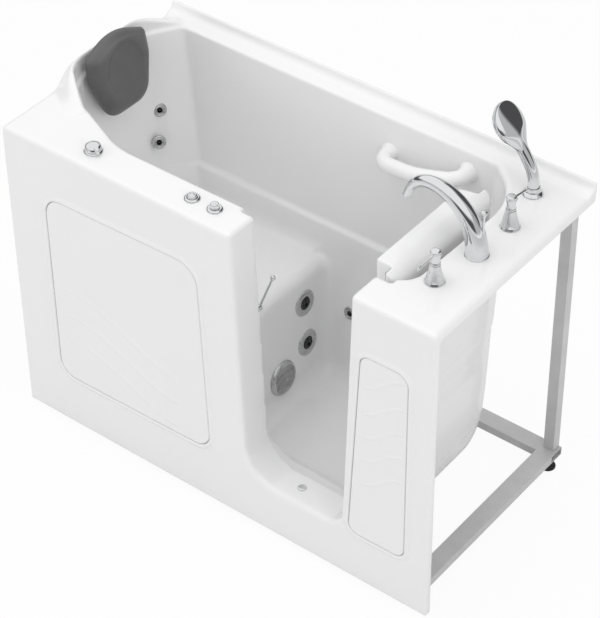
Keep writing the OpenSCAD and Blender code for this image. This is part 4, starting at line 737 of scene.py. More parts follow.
def make_handle_bases():
    parts = []
    for p in (HOT_AT, COLD_AT):
        at = on_deck(p)
        cone = soft_profile([(0, 0.1), (26, 0.1), (26, 1.8), (25.2, 3.4), (23.4, 6.5), (20.4, 16), (17.6, 27),
            (15.2, 38), (13.6, 47), (13.1, 50.2), (12.2, 51.8), (0, 51.8)], 1.2)
        parts.append(lathe("base", cone, at, sides=72))
        parts.append(cylinder("shank", 14, -40, 0.4, at))
        parts.append(cylinder("stem", 6.9, 50, 58, at))
    return joined("handle_cones", parts)


def make_tap_lever(name, p, turn):
    at = on_deck(p)
    cap = soft_profile([(0, 52.5), (11.6, 52.5), (12.9, 53.6), (13.2, 56), (12.4, 57.6), (11.2, 59.5),
        (10.9, 64), (11.4, 70), (12.4, 76.5), (13.6, 81), (14.0, 84.2), (13.4, 86.4), (13.0, 89.6),
        (11.8, 91.3), (8.2, 92), (0, 92)], 0.9)
    parts = [lathe("cap", cap, at, sides=64)]
    groove = soft_profile([(0, 84.3), (14.35, 84.3), (14.5, 85.0), (14.35, 85.7), (0, 85.7)], 0.3)
    parts.append(lathe("bead", groove, at, sides=64))
    a = radians(6)
    axis = np.array([cos(a), 0, -sin(a)])
    start = np.array([0, 0, 82.0])
    prof = [(0, 0), (5.2, 0), (5.0, 11), (4.0, 15), (3.5, 20), (3.1, 40), (3.0, 55), (3.3, 57), (4.3, 59)]
    prof += [(4.4 * cos(radians(b)), 62 + 4.4 * sin(radians(b))) for b in range(-30, 91, 12)]
    rod = soft_lathe("rod", prof, start, axis, 32)
    rod.data.transform(Matrix.Translation(Vector((0, -FRONT_Y * MM, 0))))
    turn_m = Matrix.Rotation(radians(turn), 4, "Z")
    rod.data.transform(Matrix.Translation(Vector((p[0] * MM, (p[1] + FRONT_Y) * MM, DECK_Z * MM))) @ turn_m)
    parts.append(rod)
    return joined(name, parts)


def make_hot_lever():
    return make_tap_lever("hot_lever_arm", HOT_AT, -94)


def make_cold_lever():
    return make_tap_lever("cold_lever_arm", COLD_AT, 87)


def shower_path(t):
    x, d = SHOWER_AT
    z = DECK_Z + 23
    return bezier([(x, d, z), (x + 2, d, DECK_Z + 95), (x - 62, d, DECK_Z + 128), (x - 104, d, DECK_Z + 226)],
        t)


SHOWER_FACE_AT = np.array([SHOWER_AT[0] - 86, SHOWER_AT[1], DECK_Z + 180])
FACE_AXIS = np.array([sin(radians(-118)), 0, cos(radians(-118))])


def make_hand_shower():
    head = 50.0

    def wide(t):
        if t < 0.5:
            return 15 + 1.5 * t
        w = 15.75 + (head - 15.75) * smooth((t - 0.5) / 0.28)
        return w * (sqrt(max(0.001, 1 - ((t - 0.8) / 0.2) ** 2)) if t > 0.8 else 1)

    def thick(t):
        if t < 0.5:
            return 15 - 2 * t
        return 14 + 7 * smooth((t - 0.5) / 0.25) - (20 * ((t - 0.72) / 0.28) ** 2 if t > 0.72 else 0)

    ts = np.concatenate([np.linspace(0, 0.8, 70, endpoint=False),
        0.8 + 0.2 * np.sin(np.linspace(0, pi / 2, 26))])
    centres = [shower_path(t) for t in ts]
    body = sweep("hand_shower_body", centres, [max(1.2, wide(t)) for t in ts], [max(0.8, thick(t)) for t in ts],
        side_axis=(0, 1, 0), sides=56)
    face_cut = cylinder("cutter", 47, 4, 60, SHOWER_FACE_AT, FACE_AXIS, 72)
    cut(body, [face_cut])
    ring_profile = soft_profile([(0, 1.0), (46.6, 1.0), (47.2, 2.2), (47.2, 4.8), (46.3, 6.2), (44.4, 6.6),
        (43.4, 5.6), (43.3, 4.0), (0, 3.9)], 0.5)
    rim = lathe("rim", ring_profile, SHOWER_FACE_AT, FACE_AXIS, 72)
    foot = soft_lathe("foot", [(0, -17), (10, -17), (10, -1), (14.4, 0), (15.0, 1.2), (15.0, 3), (0, 3)],
        (SHOWER_AT[0], SHOWER_AT[1], DECK_Z + 23), sides=56, r=0.5)
    return joined("hand_shower_body", [body, rim, foot])


def make_shower_face():
    plate = soft_lathe("plate", [(0, 4.05), (43, 4.05), (43, 6.6), (41.6, 7.4), (30, 8.3), (0, 8.8)],
        SHOWER_FACE_AT, FACE_AXIS, 72, r=0.6)
    u = np.cross(FACE_AXIS, [0, 1, 0])
    parts = [plate]
    for ring, count in ((0, 1), (8, 6), (16, 12), (24.5, 18), (33, 24)):
        for i in range(count):
            a = 2 * pi * i / count
            at = SHOWER_FACE_AT + (u * cos(a) + np.array([0, 1, 0]) * sin(a)) * ring
            parts.append(lathe("nub", [(0, 6), (1.9, 6), (1.6, 9.6), (1.0, 10.8), (0.6, 10.8), (0.5, 10.2),
                (0, 10.2)], at, FACE_AXIS, 12))
    return joined("shower_face_plate", parts)


def make_shower_holder():
    at = on_deck(SHOWER_AT)
    profile = soft_profile([(0, 0.1), (27, 0.1), (27, 1.8), (26, 3.6), (23.4, 6.3), (19.6, 9), (18, 12),
        (17.4, 16), (17.6, 19.5), (17.0, 21.8), (15.9, 22), (10.6, 22), (10.4, 20), (10.4, 5), (0, 5)], 0.9)
    cup = lathe("cup", profile, at, sides=72)
    shank = cylinder("shank", 14, -60, 0.4, at)
    return joined("shower_cup", [cup, shank])


def housing(p, r, bore):
    at = on_deck(p)
    top = [(bore, 4.9), (bore + 0.6, 5.6), (bore + 1.6, 5.9), (r - 5, 5.9), (r - 3.2, 5.3), (r - 1.4, 4.0),
        (r - 0.3, 2.2), (r, 1.2), (r, 0.1)]
    return soft_lathe("housing", [(0, -24), (bore, -24)] + top + [(14.2, 0.1), (14, -0.6), (14, -30), (0, -30)],
        at, sides=72, r=0.5)


def make_housings():
    return joined("control_rings", [housing(DIAL_AT, 25, 6.2), housing(BUTTON_AT, 21, 13.6),
        housing(AIR_AT, 21, 5.2)])


def make_diverter():
    at = on_deck(DIAL_AT)
    knob = soft_lathe("knob", [(0, -20), (6, -20), (6, 6.5), (21.8, 6.5), (22.5, 7.6), (22.6, 9.6), (21.8, 12),
        (20.6, 15.3), (19.2, 17.6), (16.6, 19.2), (12, 20.4), (6, 21.1), (0, 21.3)], at, sides=72, r=1.0)
    a = radians(-20)
    ca, sa = cos(a), sin(a)
    outline = [(-10, -7.5), (4, -7.5), (14, -6), (22, -3.4), (25, 0), (22, 3.4), (14, 6), (4, 7.5), (-10, 7.5)]
    rings = []
    for z, s in ((6.9, 0.97), (8.0, 1.0), (17.2, 1.0), (19.0, 0.95), (19.8, 0.86)):
        shape = [(6 + x * (s if x > 0 else 1), y * s) for x, y in outline]
        rings.append([(at[0] + x * ca - y * sa, at[1] + x * sa + y * ca, at[2] + z) for x, y in shape])
    return joined("diverter_cap", [knob, loft("pointer", rings)])


def make_button():
    at = on_deck(BUTTON_AT)
    return soft_lathe("button_cap", [(0, -10), (13, -10), (13, 9.4), (12.4, 11.2), (10.8, 12.8), (8.6, 13.2),
        (7.6, 12.4), (6, 12.8), (3, 13.7), (0, 14)], at, sides=64, r=0.7)


def make_air_knob():
    at = on_deck(AIR_AT)
    knob = soft_lathe("knob", [(0, -20), (5, -20), (5, 6.6), (13, 6.6), (13, 8), (12, 9.4), (11.4, 13),
        (11.2, 16.2), (10, 18.2), (7, 18.7), (0, 18.8)], at, sides=64,
        relief=lambda h, a: 1 + (0.018 * cos(18 * a) if 9.2 < h < 16.6 else 0))
    rings = []
    for z, s in ((15.0, 1.0), (18.8, 1.0), (19.6, 0.8)):
        rings.append([(at[0] + x, at[1] + y * s, at[2] + z)
            for x, y in ((2, -1.6), (12.6, -1.6), (13.4, 0), (12.6, 1.6), (2, 1.6))])
    return joined("air_cap", [knob, loft("grip", rings)])


# ---------- jets, suction and drains
def seat_face(d, z):
    top = SEAT_X + lerp(-4, 4, (d - 134) / 452)
    return np.array([lerp(top, SEAT_X + 36, (SEAT_Z - z) / (SEAT_Z - FLOOR_Z)), d, z])


SEAT_LEAN = atan2(36, SEAT_Z - FLOOR_Z)
BACK_LEAN = atan2(48, SEAT_Z - FLOOR_Z)
SEAT_AXIS = np.array([cos(SEAT_LEAN), 0, sin(SEAT_LEAN)])
BACK_AXIS = np.array([0, -cos(BACK_LEAN), sin(BACK_LEAN)])
BACK = (np.array([SEAT_X + 101, lerp(BACK_D - 36, BACK_D - 84, (SEAT_Z - 286) / (SEAT_Z - FLOOR_Z)), 286]),
    BACK_AXIS)
TURN, LEAN = radians(-38), radians(72)
LUMBAR_AXIS = np.array([cos(TURN) * sin(LEAN), sin(TURN) * sin(LEAN), cos(LEAN)])
JETS = [(seat_face(480, 335), SEAT_AXIS), (seat_face(474, 205), SEAT_AXIS)]
LUMBAR = [(np.array([X_HEAD + 55, 535, 710.0]), LUMBAR_AXIS),
    (np.array([X_HEAD + 71, 508, 624.0]), LUMBAR_AXIS)]
SUCTION = (seat_face(359, 159), SEAT_AXIS)
JET_SINK, JET_BORE, SMALL_BORE = -0.8, 19, 7.5


def sunk(at, axis):
    """A jet's place, set back so that its flange beds into the wall."""
    return np.asarray(at) + axis * JET_SINK


def jet_ring(at, axis, r, body_r, length, bore):
    """Flange with a stepped, dished face, and the body behind the wall."""
    profile = soft_profile([(0, -length + 6), (bore, -length + 6), (bore, 3.2), (bore + 0.8, 4.2),
        (bore + 1.8, 4.4), (r * 0.62, 3.1), (r * 0.66, 4.6), (r * 0.72, 5.0), (r - 4, 4.9), (r - 1.8, 3.9),
        (r - 0.5, 2.3), (r, 1.1), (r, 0.05), (body_r + 0.3, 0.05), (body_r, -0.6), (body_r, -length),
        (0, -length)], 0.5)
    return lathe("jet", profile, sunk(at, axis), axis, 72)


def make_jet_rings():
    return joined("jet_rings", [jet_ring(at, axis, 39, 24, 58, JET_BORE) for at, axis in JETS]
        + [small_jet(*BACK)])


def small_jet(at, axis):
    return jet_ring(at, axis, 20, 14, 44, SMALL_BORE)


def make_small_jet_rings():
    return joined("small_jet_rings", [small_jet(at, axis) for at, axis in LUMBAR])


def nozzle(name, at, axis, bore):
    """Swivelling black eyeball with an off-centre outlet, as in the frame."""
    r = bore - 0.3
    body = soft_lathe(name, [(0, -14), (r, -14), (r, 3), (r * 0.97, 4.8), (r * 0.88, 6.2), (r * 0.78, 6.0),
        (r * 0.7, 3.6), (r * 0.63, 3.2), (r * 0.55, 5.6), (r * 0.44, 6.4), (0, 6.6)], sunk(at, axis), axis, 56,
        r=0.5)
    w = unit(axis)
    u = unit(np.cross(np.cross(w, [0, 0, 1.0]), w)) * -1
    out = lathe("cutter", [(0, -8), (r * 0.3, -8), (r * 0.3, 7.0), (r * 0.42, 8.6), (r * 0.44, 22), (0, 22)],
        sunk(at, axis) + u * r * 0.22, axis, 40)
    return cut(body, [out])


def make_suction():
    at, axis = SUCTION
    base, r = sunk(at, axis), 52.0
    body = soft_lathe("suction", [(0, 0.05), (r, 0.05), (r, 2.2), (r - 0.8, 4.2), (r - 4, 8.6), (r - 8, 10.8),
        (r - 14, 12.6), (r - 26, 14), (r - 40, 14.8), (0, 15)], base, axis, 80, r=1.2)
    u = unit(np.cross([0, 1, 0], axis))
    v = np.array([0.0, 1.0, 0.0])
    cutters = []
    for i in range(-9, 10):
        half = sqrt(max(0, 43 ** 2 - (i * 4.3) ** 2))
        cutters.append(sweep("cutter", [base + v * (i * 4.3) + u * s + axis * (14.2 - 0.0021 * (i * 4.3) ** 2)
            for s in (-half, half)], [0.9, 0.9], [3.2, 3.2], side_axis=tuple(v), sides=12))
    cut(body, cutters)
    pipe = cylinder("pipe", 24, -60, 0.2, base, axis)
    screw = soft_lathe("screw", [(0, 14), (4.2, 14), (4.2, 16), (3.2, 16.9), (0, 17.2)], base, axis, 32, r=0.4)
    return joined("suction_grille", [body, pipe, screw])


def make_floor_drain():
    at = (*DRAIN_AT, FLOOR_Z)
    profile = soft_profile([(0, -22), (20, -22), (20, 1.2), (21.2, 2.8), (23, 3.2), (38.5, 2.4), (40.6, 1.6),
        (42, 0.7), (42, 0.2), (25.8, 0.2), (25.5, -0.4), (25.5, -20), (21, -20), (21, -22.2), (0, -22.2)], 0.4)
    ring = lathe("floor_drain_ring", profile, at, sides=72)
    bars = []
    for i in range(3):
        a = pi * i / 3
        v = np.array([cos(a), sin(a), 0]) * 20.4
        c = np.array(at, float) + [0, 0, -10]
        bars.append(sweep("bar", [c - v, c + v], [1.3, 1.3], [1.6, 1.6], side_axis=(0, 0, 1), sides=12))
    return joined("floor_drain_ring", [ring] + bars)


def make_stopper():
    at = (*DRAIN_AT, FLOOR_Z)
    return soft_lathe("stopper_cap", [(0, -22), (4, -22), (4, 3.8), (27.6, 3.8), (28, 4.6), (27.8, 6.2),
        (25.6, 8.4), (20, 9.8), (8, 10.6), (0, 10.8)], at, sides=64)


def make_sill_drain():
    at = (*SILL_DRAIN_AT, SILL_Z)
    body = soft_lathe("sill_drain_cap", [(0, -26), (8, -26), (8, 0.2), (12, 0.2), (12, 1.0), (11.2, 2.3),
        (9.4, 2.7), (0, 2.8)], at, sides=56, r=0.4)
    cutters = []
    for i in range(-2, 3):
        half = 6.4 - abs(i)
        c = np.array([at[0] + i * 3.4, at[1], at[2] + 3.0])
        cutters.append(sweep("cutter", [c - [0, half, 0], c + [0, half, 0]], [0.85, 0.85], [2.0, 2.0],
            side_axis=(1, 0, 0), sides=12))
    return cut(body, cutters)


def make_overflow():
    r = 32.0
    return soft_lathe("overflow_cap", [(0, -38), (17.5, -38), (17.5, 0.05), (r, 0.05), (r, 1.4), (r - 0.9, 3.3),
        (r - 3.4, 5.6), (r - 7, 6.6), (r * 0.55, 7.4), (r * 0.5, 8.0), (0, 8.4)], OVERFLOW_AT, (-1, 0, 0), 72)


# ---------- latch
def make_latch_housing():
    tongue_d = DOOR_IN_D + 2.0
    x0, x1 = RECESS_LEFT, LATCH_X + 8
    c = [[x0, LATCH_Z - 20, 0.5], [x1, LATCH_Z - 20, 6], [x1, LATCH_Z + 20, 6], [x0, LATCH_Z + 20, 0.5]]
    rings = [at_d(rounded(c, 8), SEAL_D), at_d(rounded(c, 8), tongue_d - 6)]
    rings += [at_d(rounded(grown(c, -3 * (1 - cos(radians(a)))), 8), tongue_d - 6 + 3 * sin(radians(a)))
        for a in (30, 60, 90)]
    box = loft("latch_box", rings)
    cut(box, [cylinder("cutter", 5.06, 4, 90, (LATCH_X, SEAL_D, LATCH_Z), (0, 1, 0), 48)])
    return box


def make_latch_lever():
    tongue_d, tongue_t = DOOR_IN_D + 2.0, 7.0
    hub_end = tongue_d + tongue_t + 10
    at = (LATCH_X, 0, LATCH_Z)
    parts = [soft_lathe("hub", [(0, SEAL_D + 6), (5, SEAL_D + 6), (5, tongue_d), (8, tongue_d),
        (8, hub_end - 1.4), (7, hub_end), (3, hub_end + 0.6), (0, hub_end + 0.6)], at, (0, 1, 0), 48, r=0.6)]
    a = radians(164)
    ca, sa = cos(a), sin(a)
    tongue = []
    for d, s in ((tongue_d + 0.02, 0.98), (tongue_d + 0.6, 1.0), (tongue_d + tongue_t - 1.2, 1.0),
            (tongue_d + tongue_t, 0.86)):
        shape = [(0, -6 * s), (16, -5.6 * s), (24, -4.6 * s), (27.4, -2.4 * s), (28, 0), (27.4, 2.4 * s),
            (24, 4.6 * s), (16, 5.6 * s), (0, 6 * s)]
        tongue.append([(LATCH_X + x * ca - z * sa, d, LATCH_Z + x * sa + z * ca) for x, z in shape])
    parts.append(loft("tongue", tongue))
    lean = unit([5, 50, 66])
    base = np.array([LATCH_X, hub_end - 5, LATCH_Z])
    prof = [(0, -2), (4.6, -2), (4.4, 4), (3.5, 8), (3.2, 40), (3.0, 74), (3.4, 77)]
    prof += [(7.5 * cos(radians(b)), 84 + 7.5 * sin(radians(b))) for b in range(-62, 91, 12)]
    parts.append(soft_lathe("rod", prof, base, lean, 36))
    return joined("latch_arm", parts)


# ---------- grab bar and headrest
def make_grab_bar():
    """Moulded bar, bowed away from the wall, its ends flared on to the wall."""
    bend, out, half = 50.0, BAR_OUT - BAR_DIA / 2, BAR_L / 2
    path = [(-half, 0.0)]
    path += [(-half + bend * (1 - cos(a)), -(out - bend * 0.75) - bend * 0.75 * sin(a))
        for a in np.linspace(0, pi / 2, 12)]
    path += [(lerp(-half + bend, half - bend, t), -out - 10 * sin(pi * t)) for t in np.linspace(0.08, 0.92, 15)]
    path += [(half - bend * (1 - cos(a)), -(out - bend * 0.75) - bend * 0.75 * sin(a))
        for a in np.linspace(pi / 2, 0, 12)]
    path += [(half, 0.0)]
    for _ in range(3):
        path = [path[0]] + [tuple((np.array(p) + 2 * np.array(q) + np.array(r)) / 4)
            for p, q, r in zip(path, path[1:], path[2:])] + [path[-1]]
    pts = np.array([(p[0], p[1], 0.0) for p in path])
    length = np.concatenate([[0], np.cumsum(np.linalg.norm(np.diff(pts, axis=0), axis=1))])
    s = np.linspace(0, length[-1], 90)
    pts = np.stack([np.interp(s, length, pts[:, k]) for k in range(3)], 1)
    end = np.minimum(s, s[-1] - s)
    radius = BAR_DIA / 2 + 8.0 * np.exp(-end / 9.0)
    turn = tilt(-BAR_TILT)
    world = pts @ turn.T + np.array(BAR_MID)
    rings = []
    up = turn @ np.array([0, 0, 1.0])
    for k in range(len(world)):
        if k == 0:
            t = turn @ np.array([0, -1.0, 0])
        elif k == len(world) - 1:
            t = turn @ np.array([0, 1.0, 0])
        else:
            t = unit(world[k + 1] - world[k - 1])
        u = np.cross(up, t)
        ring = [world[k] + radius[k] * (u * cos(b) + up * sin(b))
            for b in np.linspace(0, 2 * pi, 40, endpoint=False)]
        if k in (0, len(world) - 1):
            ring = [np.array([q[0], well_c(q[2])[2][1] - 0.05, q[2]]) for q in ring]
        rings.append(ring)
    bar = loft("grab_bar_moulding", rings)
    studs = []
    for sgn in (-1, 1):
        at = np.array(BAR_MID) + turn @ np.array([sgn * half, -1, 0])
        studs.append(cylinder("stud", 5, 0, 26, at, (0, 1, 0), 24))
    return joined("grab_bar_moulding", [bar] + studs)


REST_C = [[-REST_W * 0.3, -REST_H * 0.46, 50], [REST_W * 0.36, -REST_H * 0.47, 56],
    [REST_W / 2, REST_H * 0.06, 70], [REST_W * 0.49, REST_H * 0.34, 14], [0, REST_H * 0.56, 150],
    [-REST_W * 0.49, REST_H * 0.38, 20], [-REST_W / 2, REST_H * 0.06, 70]]


def make_headrest():
    """Moulded foam pad: rounded edge, crowned face and an oval dish."""
    edge = rounded(REST_C, 14)
    ang = np.arctan2(edge[:, 1], edge[:, 0])
    oval = np.stack([68 * np.cos(ang), 16 + 80 * np.sin(ang)], 1)

    def ring(scale, w, x):
        p = lerp(edge * scale, oval, w)
        return [(x, q[0], q[1]) for q in p]

    rings = [ring(0.80, 0, 0.6), ring(0.9, 0, 0.6), ring(0.945, 0, 2.0), ring(0.975, 0, 4.6), ring(0.99, 0, 9),
        ring(1, 0, 14), ring(0.995, 0, 18.5), ring(0.98, 0, 23), ring(0.955, 0.0, 27.5), ring(0.92, 0.02, 31.6),
        ring(0.895, 0.07, 35.2), ring(0.885, 0.16, 38.6), ring(0.885, 0.3, 41.2), ring(0.89, 0.48, 43.0),
        ring(0.895, 0.68, 43.9), ring(0.9, 0.84, 44.0), ring(0.9, 0.93, 43.7), ring(0.9, 0.98, 42.9)]
    for s, x in ((0.985, 41.7), (0.955, 40.2), (0.9, 38.9), (0.8, 37.6), (0.66, 36.6), (0.5, 35.9),
            (0.33, 35.5), (0.16, 35.3), (0.05, 35.25)):
        rings.append([(x, q[0] * s, 16 + (q[1] - 16) * s) for q in oval])
    turn = tilt(-REST_LEAN)
    rings = [[turn @ np.array(p) + np.array(REST_AT) for p in r] for r in rings]
    return loft("headrest_pad", rings)


# ---------- holes through the moulding
def wall_holes():
    holes = [(at, axis, 24.5, 20) for at, axis in JETS + [SUCTION]]
    holes += [(at, axis, 14.5, 20) for at, axis in LUMBAR + [BACK]]
    holes += [(on_deck(p), (0, 0, 1), 14.4, 20)
        for p in (SPOUT_AT, HOT_AT, COLD_AT, SHOWER_AT, DIAL_AT, BUTTON_AT, AIR_AT)]
    holes += [((*DRAIN_AT, FLOOR_Z), (0, 0, 1), 26, 14), ((*SILL_DRAIN_AT, SILL_Z), (0, 0, 1), 8.6, 14),
        (OVERFLOW_AT, (-1, 0, 0), 18, 20)]
    return [cylinder("cutter", r, -30, up, at, axis, 48) for at, axis, r, up in holes]


# ---------- materials
def node_tools(owner):
    """An empty node tree on a material or world, as its node maker and its linker."""
    owner.use_nodes = True
    tree = owner.node_tree
    tree.nodes.clear()

    def node(kind, **values):
        n = tree.nodes.new("ShaderNode" + kind)
        for key, value in values.items():
            n.inputs[key.replace("_", " ")].default_value = value
        return n

    return node, tree.links.new


def material(name, colour, rough, metallic=0.0, tone=0.03, tone_scale=5.0, swing=0.03, swing_scale=24.0,
        bump=0.05, bump_scale=500.0, stretch=(1, 1, 1), coat=0.0, cells=0.0, cell_scale=600.0):
    """A node material with a drifting tone, uneven gloss and a fine relief, all in the piece's own space."""
    m = bpy.data.materials.new(name)
    node, link = node_tools(m)
    out = node("OutputMaterial")
    skin = node("BsdfPrincipled", Metallic=metallic, IOR=1.5, Coat_Weight=coat, Coat_Roughness=0.04)
    link(skin.outputs["BSDF"], out.inputs["Surface"])
    place = node("Mapping", Scale=stretch)
    link(node("TexCoord").outputs["Object"], place.inputs["Vector"])

    def noise(**values):
        n = node("TexNoise", **values)
        link(place.outputs["Vector"], n.inputs["Vector"])
        return n.outputs["Fac"]

    ramp = node("ValToRGB")
    for stop, k, at in zip(ramp.color_ramp.elements, (1 - tone, 1 + tone), (0.3, 0.7)):
        stop.position = at
        stop.color = [min(1.0, c * k) for c in colour] + [1.0]
    link(noise(Scale=tone_scale, Detail=4.0, Roughness=0.6), ramp.inputs["Fac"])
    link(ramp.outputs["Color"], skin.inputs["Base Color"])

    level = node("MapRange", From_Min=0.3, From_Max=0.7, To_Min=max(0.01, rough - swing), To_Max=rough + swing)
    link(noise(Scale=swing_scale, Detail=5.0, Roughness=0.65), level.inputs["Value"])
    link(level.outputs["Result"], skin.inputs["Roughness"])

    relief = node("Bump", Strength=bump, Distance=0.0004)
    link(noise(Scale=bump_scale, Detail=3.0, Roughness=0.5), relief.inputs["Height"])
    if cells:
        pores = node("TexVoronoi", Scale=cell_scale)
        link(place.outputs["Vector"], pores.inputs["Vector"])
        pitted = node("Bump", Strength=cells, Distance=0.0005)
        link(pores.outputs["Distance"], pitted.inputs["Height"])
        link(pitted.outputs["Normal"], relief.inputs["Normal"])
    link(relief.outputs["Normal"], skin.inputs["Normal"])
    return m


MATERIALS = {
    "acrylic": material("acrylic", (0.865, 0.865, 0.865), 0.17, tone=0.006, swing=0.03, bump=0.02,
        bump_scale=260, coat=0.25),
    "chrome": material("chrome", (0.75, 0.755, 0.765), 0.05, 1.0, tone=0.012, swing=0.02, bump=0.008,
        bump_scale=120),
    "frame_steel": material("frame_steel", (0.6, 0.595, 0.6), 0.42, 0.2, tone=0.07, tone_scale=9, swing=0.07,
        swing_scale=60, bump=0.16, bump_scale=900),
    "zinc_steel": material("zinc_steel", (0.52, 0.53, 0.55), 0.32, 1.0, tone=0.1, tone_scale=40, swing=0.08,
        bump=0.1, cells=0.06),
    "stainless": material("stainless", (0.54, 0.54, 0.545), 0.26, 1.0, tone=0.03, swing=0.05, bump=0.06,
        bump_scale=300, stretch=(1, 1, 8)),
    "jet_black": material("jet_black", (0.012, 0.012, 0.013), 0.16, tone=0.12, swing=0.06, bump=0.08),
    "seal_rubber": material("seal_rubber", (0.55, 0.55, 0.56), 0.55, tone=0.05, swing=0.06, bump=0.16,
        bump_scale=800),
    "pad_rubber": material("pad_rubber", (0.02, 0.02, 0.021), 0.62, tone=0.2, swing=0.08, bump=0.3,
        bump_scale=700),
    "headrest_foam": material("headrest_foam", (0.115, 0.115, 0.118), 0.46, tone=0.07, tone_scale=14,
        swing=0.07, bump=0.22, bump_scale=900, cells=0.16, cell_scale=420),
    "face_plastic": material("face_plastic", (0.03, 0.031, 0.034), 0.34, tone=0.1, swing=0.05, bump=0.06),
    "brass": material("brass", (0.62, 0.42, 0.17), 0.28, 1.0, tone=0.08, tone_scale=30, swing=0.07, bump=0.08),
    "pipe_plastic": material("pipe_plastic", (0.78, 0.78, 0.77), 0.36, tone=0.02, swing=0.05, bump=0.07),
    "waste_plastic": material("waste_plastic", (0.62, 0.62, 0.61), 0.4, tone=0.03, swing=0.05, bump=0.08),
    "pump_plastic": material("pump_plastic", (0.028, 0.028, 0.03), 0.45, tone=0.12, swing=0.07, bump=0.2,
        bump_scale=700),
    "motor_metal": material("motor_metal", (0.2, 0.205, 0.21), 0.42, 0.5, tone=0.08, swing=0.08, bump=0.25,
        bump_scale=800),
    "catch_plastic": material("catch_plastic", (0.6, 0.6, 0.59), 0.42, tone=0.03, swing=0.05, bump=0.08),
}


def dressed(ob, body, slot, nodes=(), crease=38):
    """Rides a piece on its body, in its slot's finish, for the nodes that it stands for."""
    me = ob.data
    me.materials.clear()
    me.materials.append(MATERIALS[slot])
    if crease:
        me.set_sharp_from_angle(angle=radians(crease))
    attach(ob, body)
    if nodes:
        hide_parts(*nodes)
    return ob


# ---------- assembly
moulding = make_moulding()
cut(moulding, wall_holes())
dressed(moulding, "tub", "acrylic", ("bath_shell", "front_skirt"))
for name, c in (("large_bead", BIG_C), ("small_bead", SMALL_C)):
    dressed(bead_ring(name, c), "tub", "acrylic")
dressed(panel("large_panel_face", BIG_C, BIG_WAVES, 3.2), "large_panel", "acrylic",
    ["large_access_panel"])
dressed(panel("small_panel_face", SMALL_C, SMALL_WAVES, 2.0), "small_panel", "acrylic",
    ["small_access_panel"])
for make, body, slot, *nodes in (
        (make_door, "door", "acrylic", "door_outer_shell", "door_inner_shell"),
        (make_door_seal, "door", "seal_rubber", "door_seal"),
        (make_spout, "tub", "chrome", "filler_spout"),
        (make_aerator, "tub", "face_plastic", "spout_aerator"),
        (make_lift_knob, "lift_knob", "chrome", "spout_lift_knob"),
        (make_handle_bases, "tub", "chrome", "handle_bases"),
        (make_hot_lever, "hot_lever", "chrome", "hot_lever"),
        (make_cold_lever, "cold_lever", "chrome", "cold_lever"),
        (make_hand_shower, "hand_shower", "chrome", "hand_shower"),
        (make_shower_face, "hand_shower", "face_plastic", "shower_face"),
        (make_shower_holder, "tub", "chrome", "shower_holder"),
        (make_housings, "tub", "chrome", "control_housings"),
        (make_diverter, "diverter", "chrome", "diverter_knob"),
        (make_button, "push_button", "chrome", "push_button"),
        (make_air_knob, "air_knob", "chrome", "air_control_knob"),
        (make_jet_rings, "tub", "stainless", "seat_jets"),
        (make_small_jet_rings, "tub", "stainless", "lumbar_jets")):
    dressed(make(), body, slot, nodes)
for (at, axis), bore, body in zip(JETS + [BACK] + LUMBAR, [JET_BORE] * 2 + [SMALL_BORE] * 3,
        ("upper_seat_nozzle", "lower_seat_nozzle", "back_nozzle", "upper_lumbar_nozzle",
        "lower_lumbar_nozzle")):
    dressed(nozzle(body + "_eye", at, axis, bore), body, "jet_black", [body])
for make, body, slot, *nodes in (
        (make_suction, "tub", "stainless", "suction_cover"),
        (make_floor_drain, "tub", "chrome", "floor_drain"),
        (make_stopper, "stopper", "chrome", "drain_stopper"),
        (make_sill_drain, "tub", "chrome", "sill_drain"),
        (make_overflow, "tub", "chrome", "overflow_plate"),
        (make_latch_housing, "tub", "stainless", "latch_housing"),
        (make_latch_lever, "latch_lever", "chrome", "latch_lever"),
        (make_grab_bar, "tub", "acrylic", "grab_bar")):
    dressed(make(), body, slot, nodes)
headrest = dressed(make_headrest(), "tub", "headrest_foam", ["headrest"], crease=0)

# Nodes of the frame whose shape is kept, in the finish of their slot.
KEPT = {
    "catch_plastic": ["panel_catches"],
    "stainless": ["hinge_frame_leaves", "hinge_door_leaves", "hinge_pins", "door_strike", "headrest_studs"],
    "brass": ["valve_bodies"],
    "pipe_plastic": ["mixer_pipes", "water_pipes", "air_pipes"],
    "waste_plastic": ["waste_trap"],
    "frame_steel": ["base_long_rails", "base_cross_rails", "frame_posts", "top_rails", "seat_braces"],
    "pad_rubber": ["support_pads", "foot_pads"],
    "zinc_steel": ["foot_studs"],
    "pump_plastic": ["jet_pump", "air_blower", "control_box"],
    "motor_metal": ["pump_motor"],
}
for slot, names in KEPT.items():
    for name in names:
        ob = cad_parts[name]
        ob.data.materials.clear()
        ob.data.materials.append(MATERIALS[slot])
        weld = ob.modifiers.new("weld", "WELD")
        weld.merge_threshold = 0.00002
        edge = ob.modifiers.new("edge", "BEVEL")
        edge.width, edge.segments, edge.limit_method, edge.angle_limit = 0.0007, 2, "ANGLE", radians(40)
        edge.harden_normals = True


# ---------- studio, in metres
WORLD_LIGHT, FLOOR_WHITE, FLOOR_SHARE = 0.74, 0.9, 0.93
# Each lamp: its name, its place, where it aims, its size and its power in watts.
LAMPS = (("top_light", (-0.3, -0.3, 3.6), (0, 0, 0.6), 3.4, 27.5),
    ("front_light", (-2.6, -3.2, 2.2), (0, 0, 0.6), 2.4, 18),
    ("side_light", (3.0, -1.1, 2.5), (-0.4, 0, 0.6), 2.0, 17))
LENS_MM, CAMERA_ROLL = 137.1, -0.66
CAMERA_AT, CAMERA_LOOK = (2.9089, -3.6655, 4.4467), (-0.471, 0.597, -0.649)


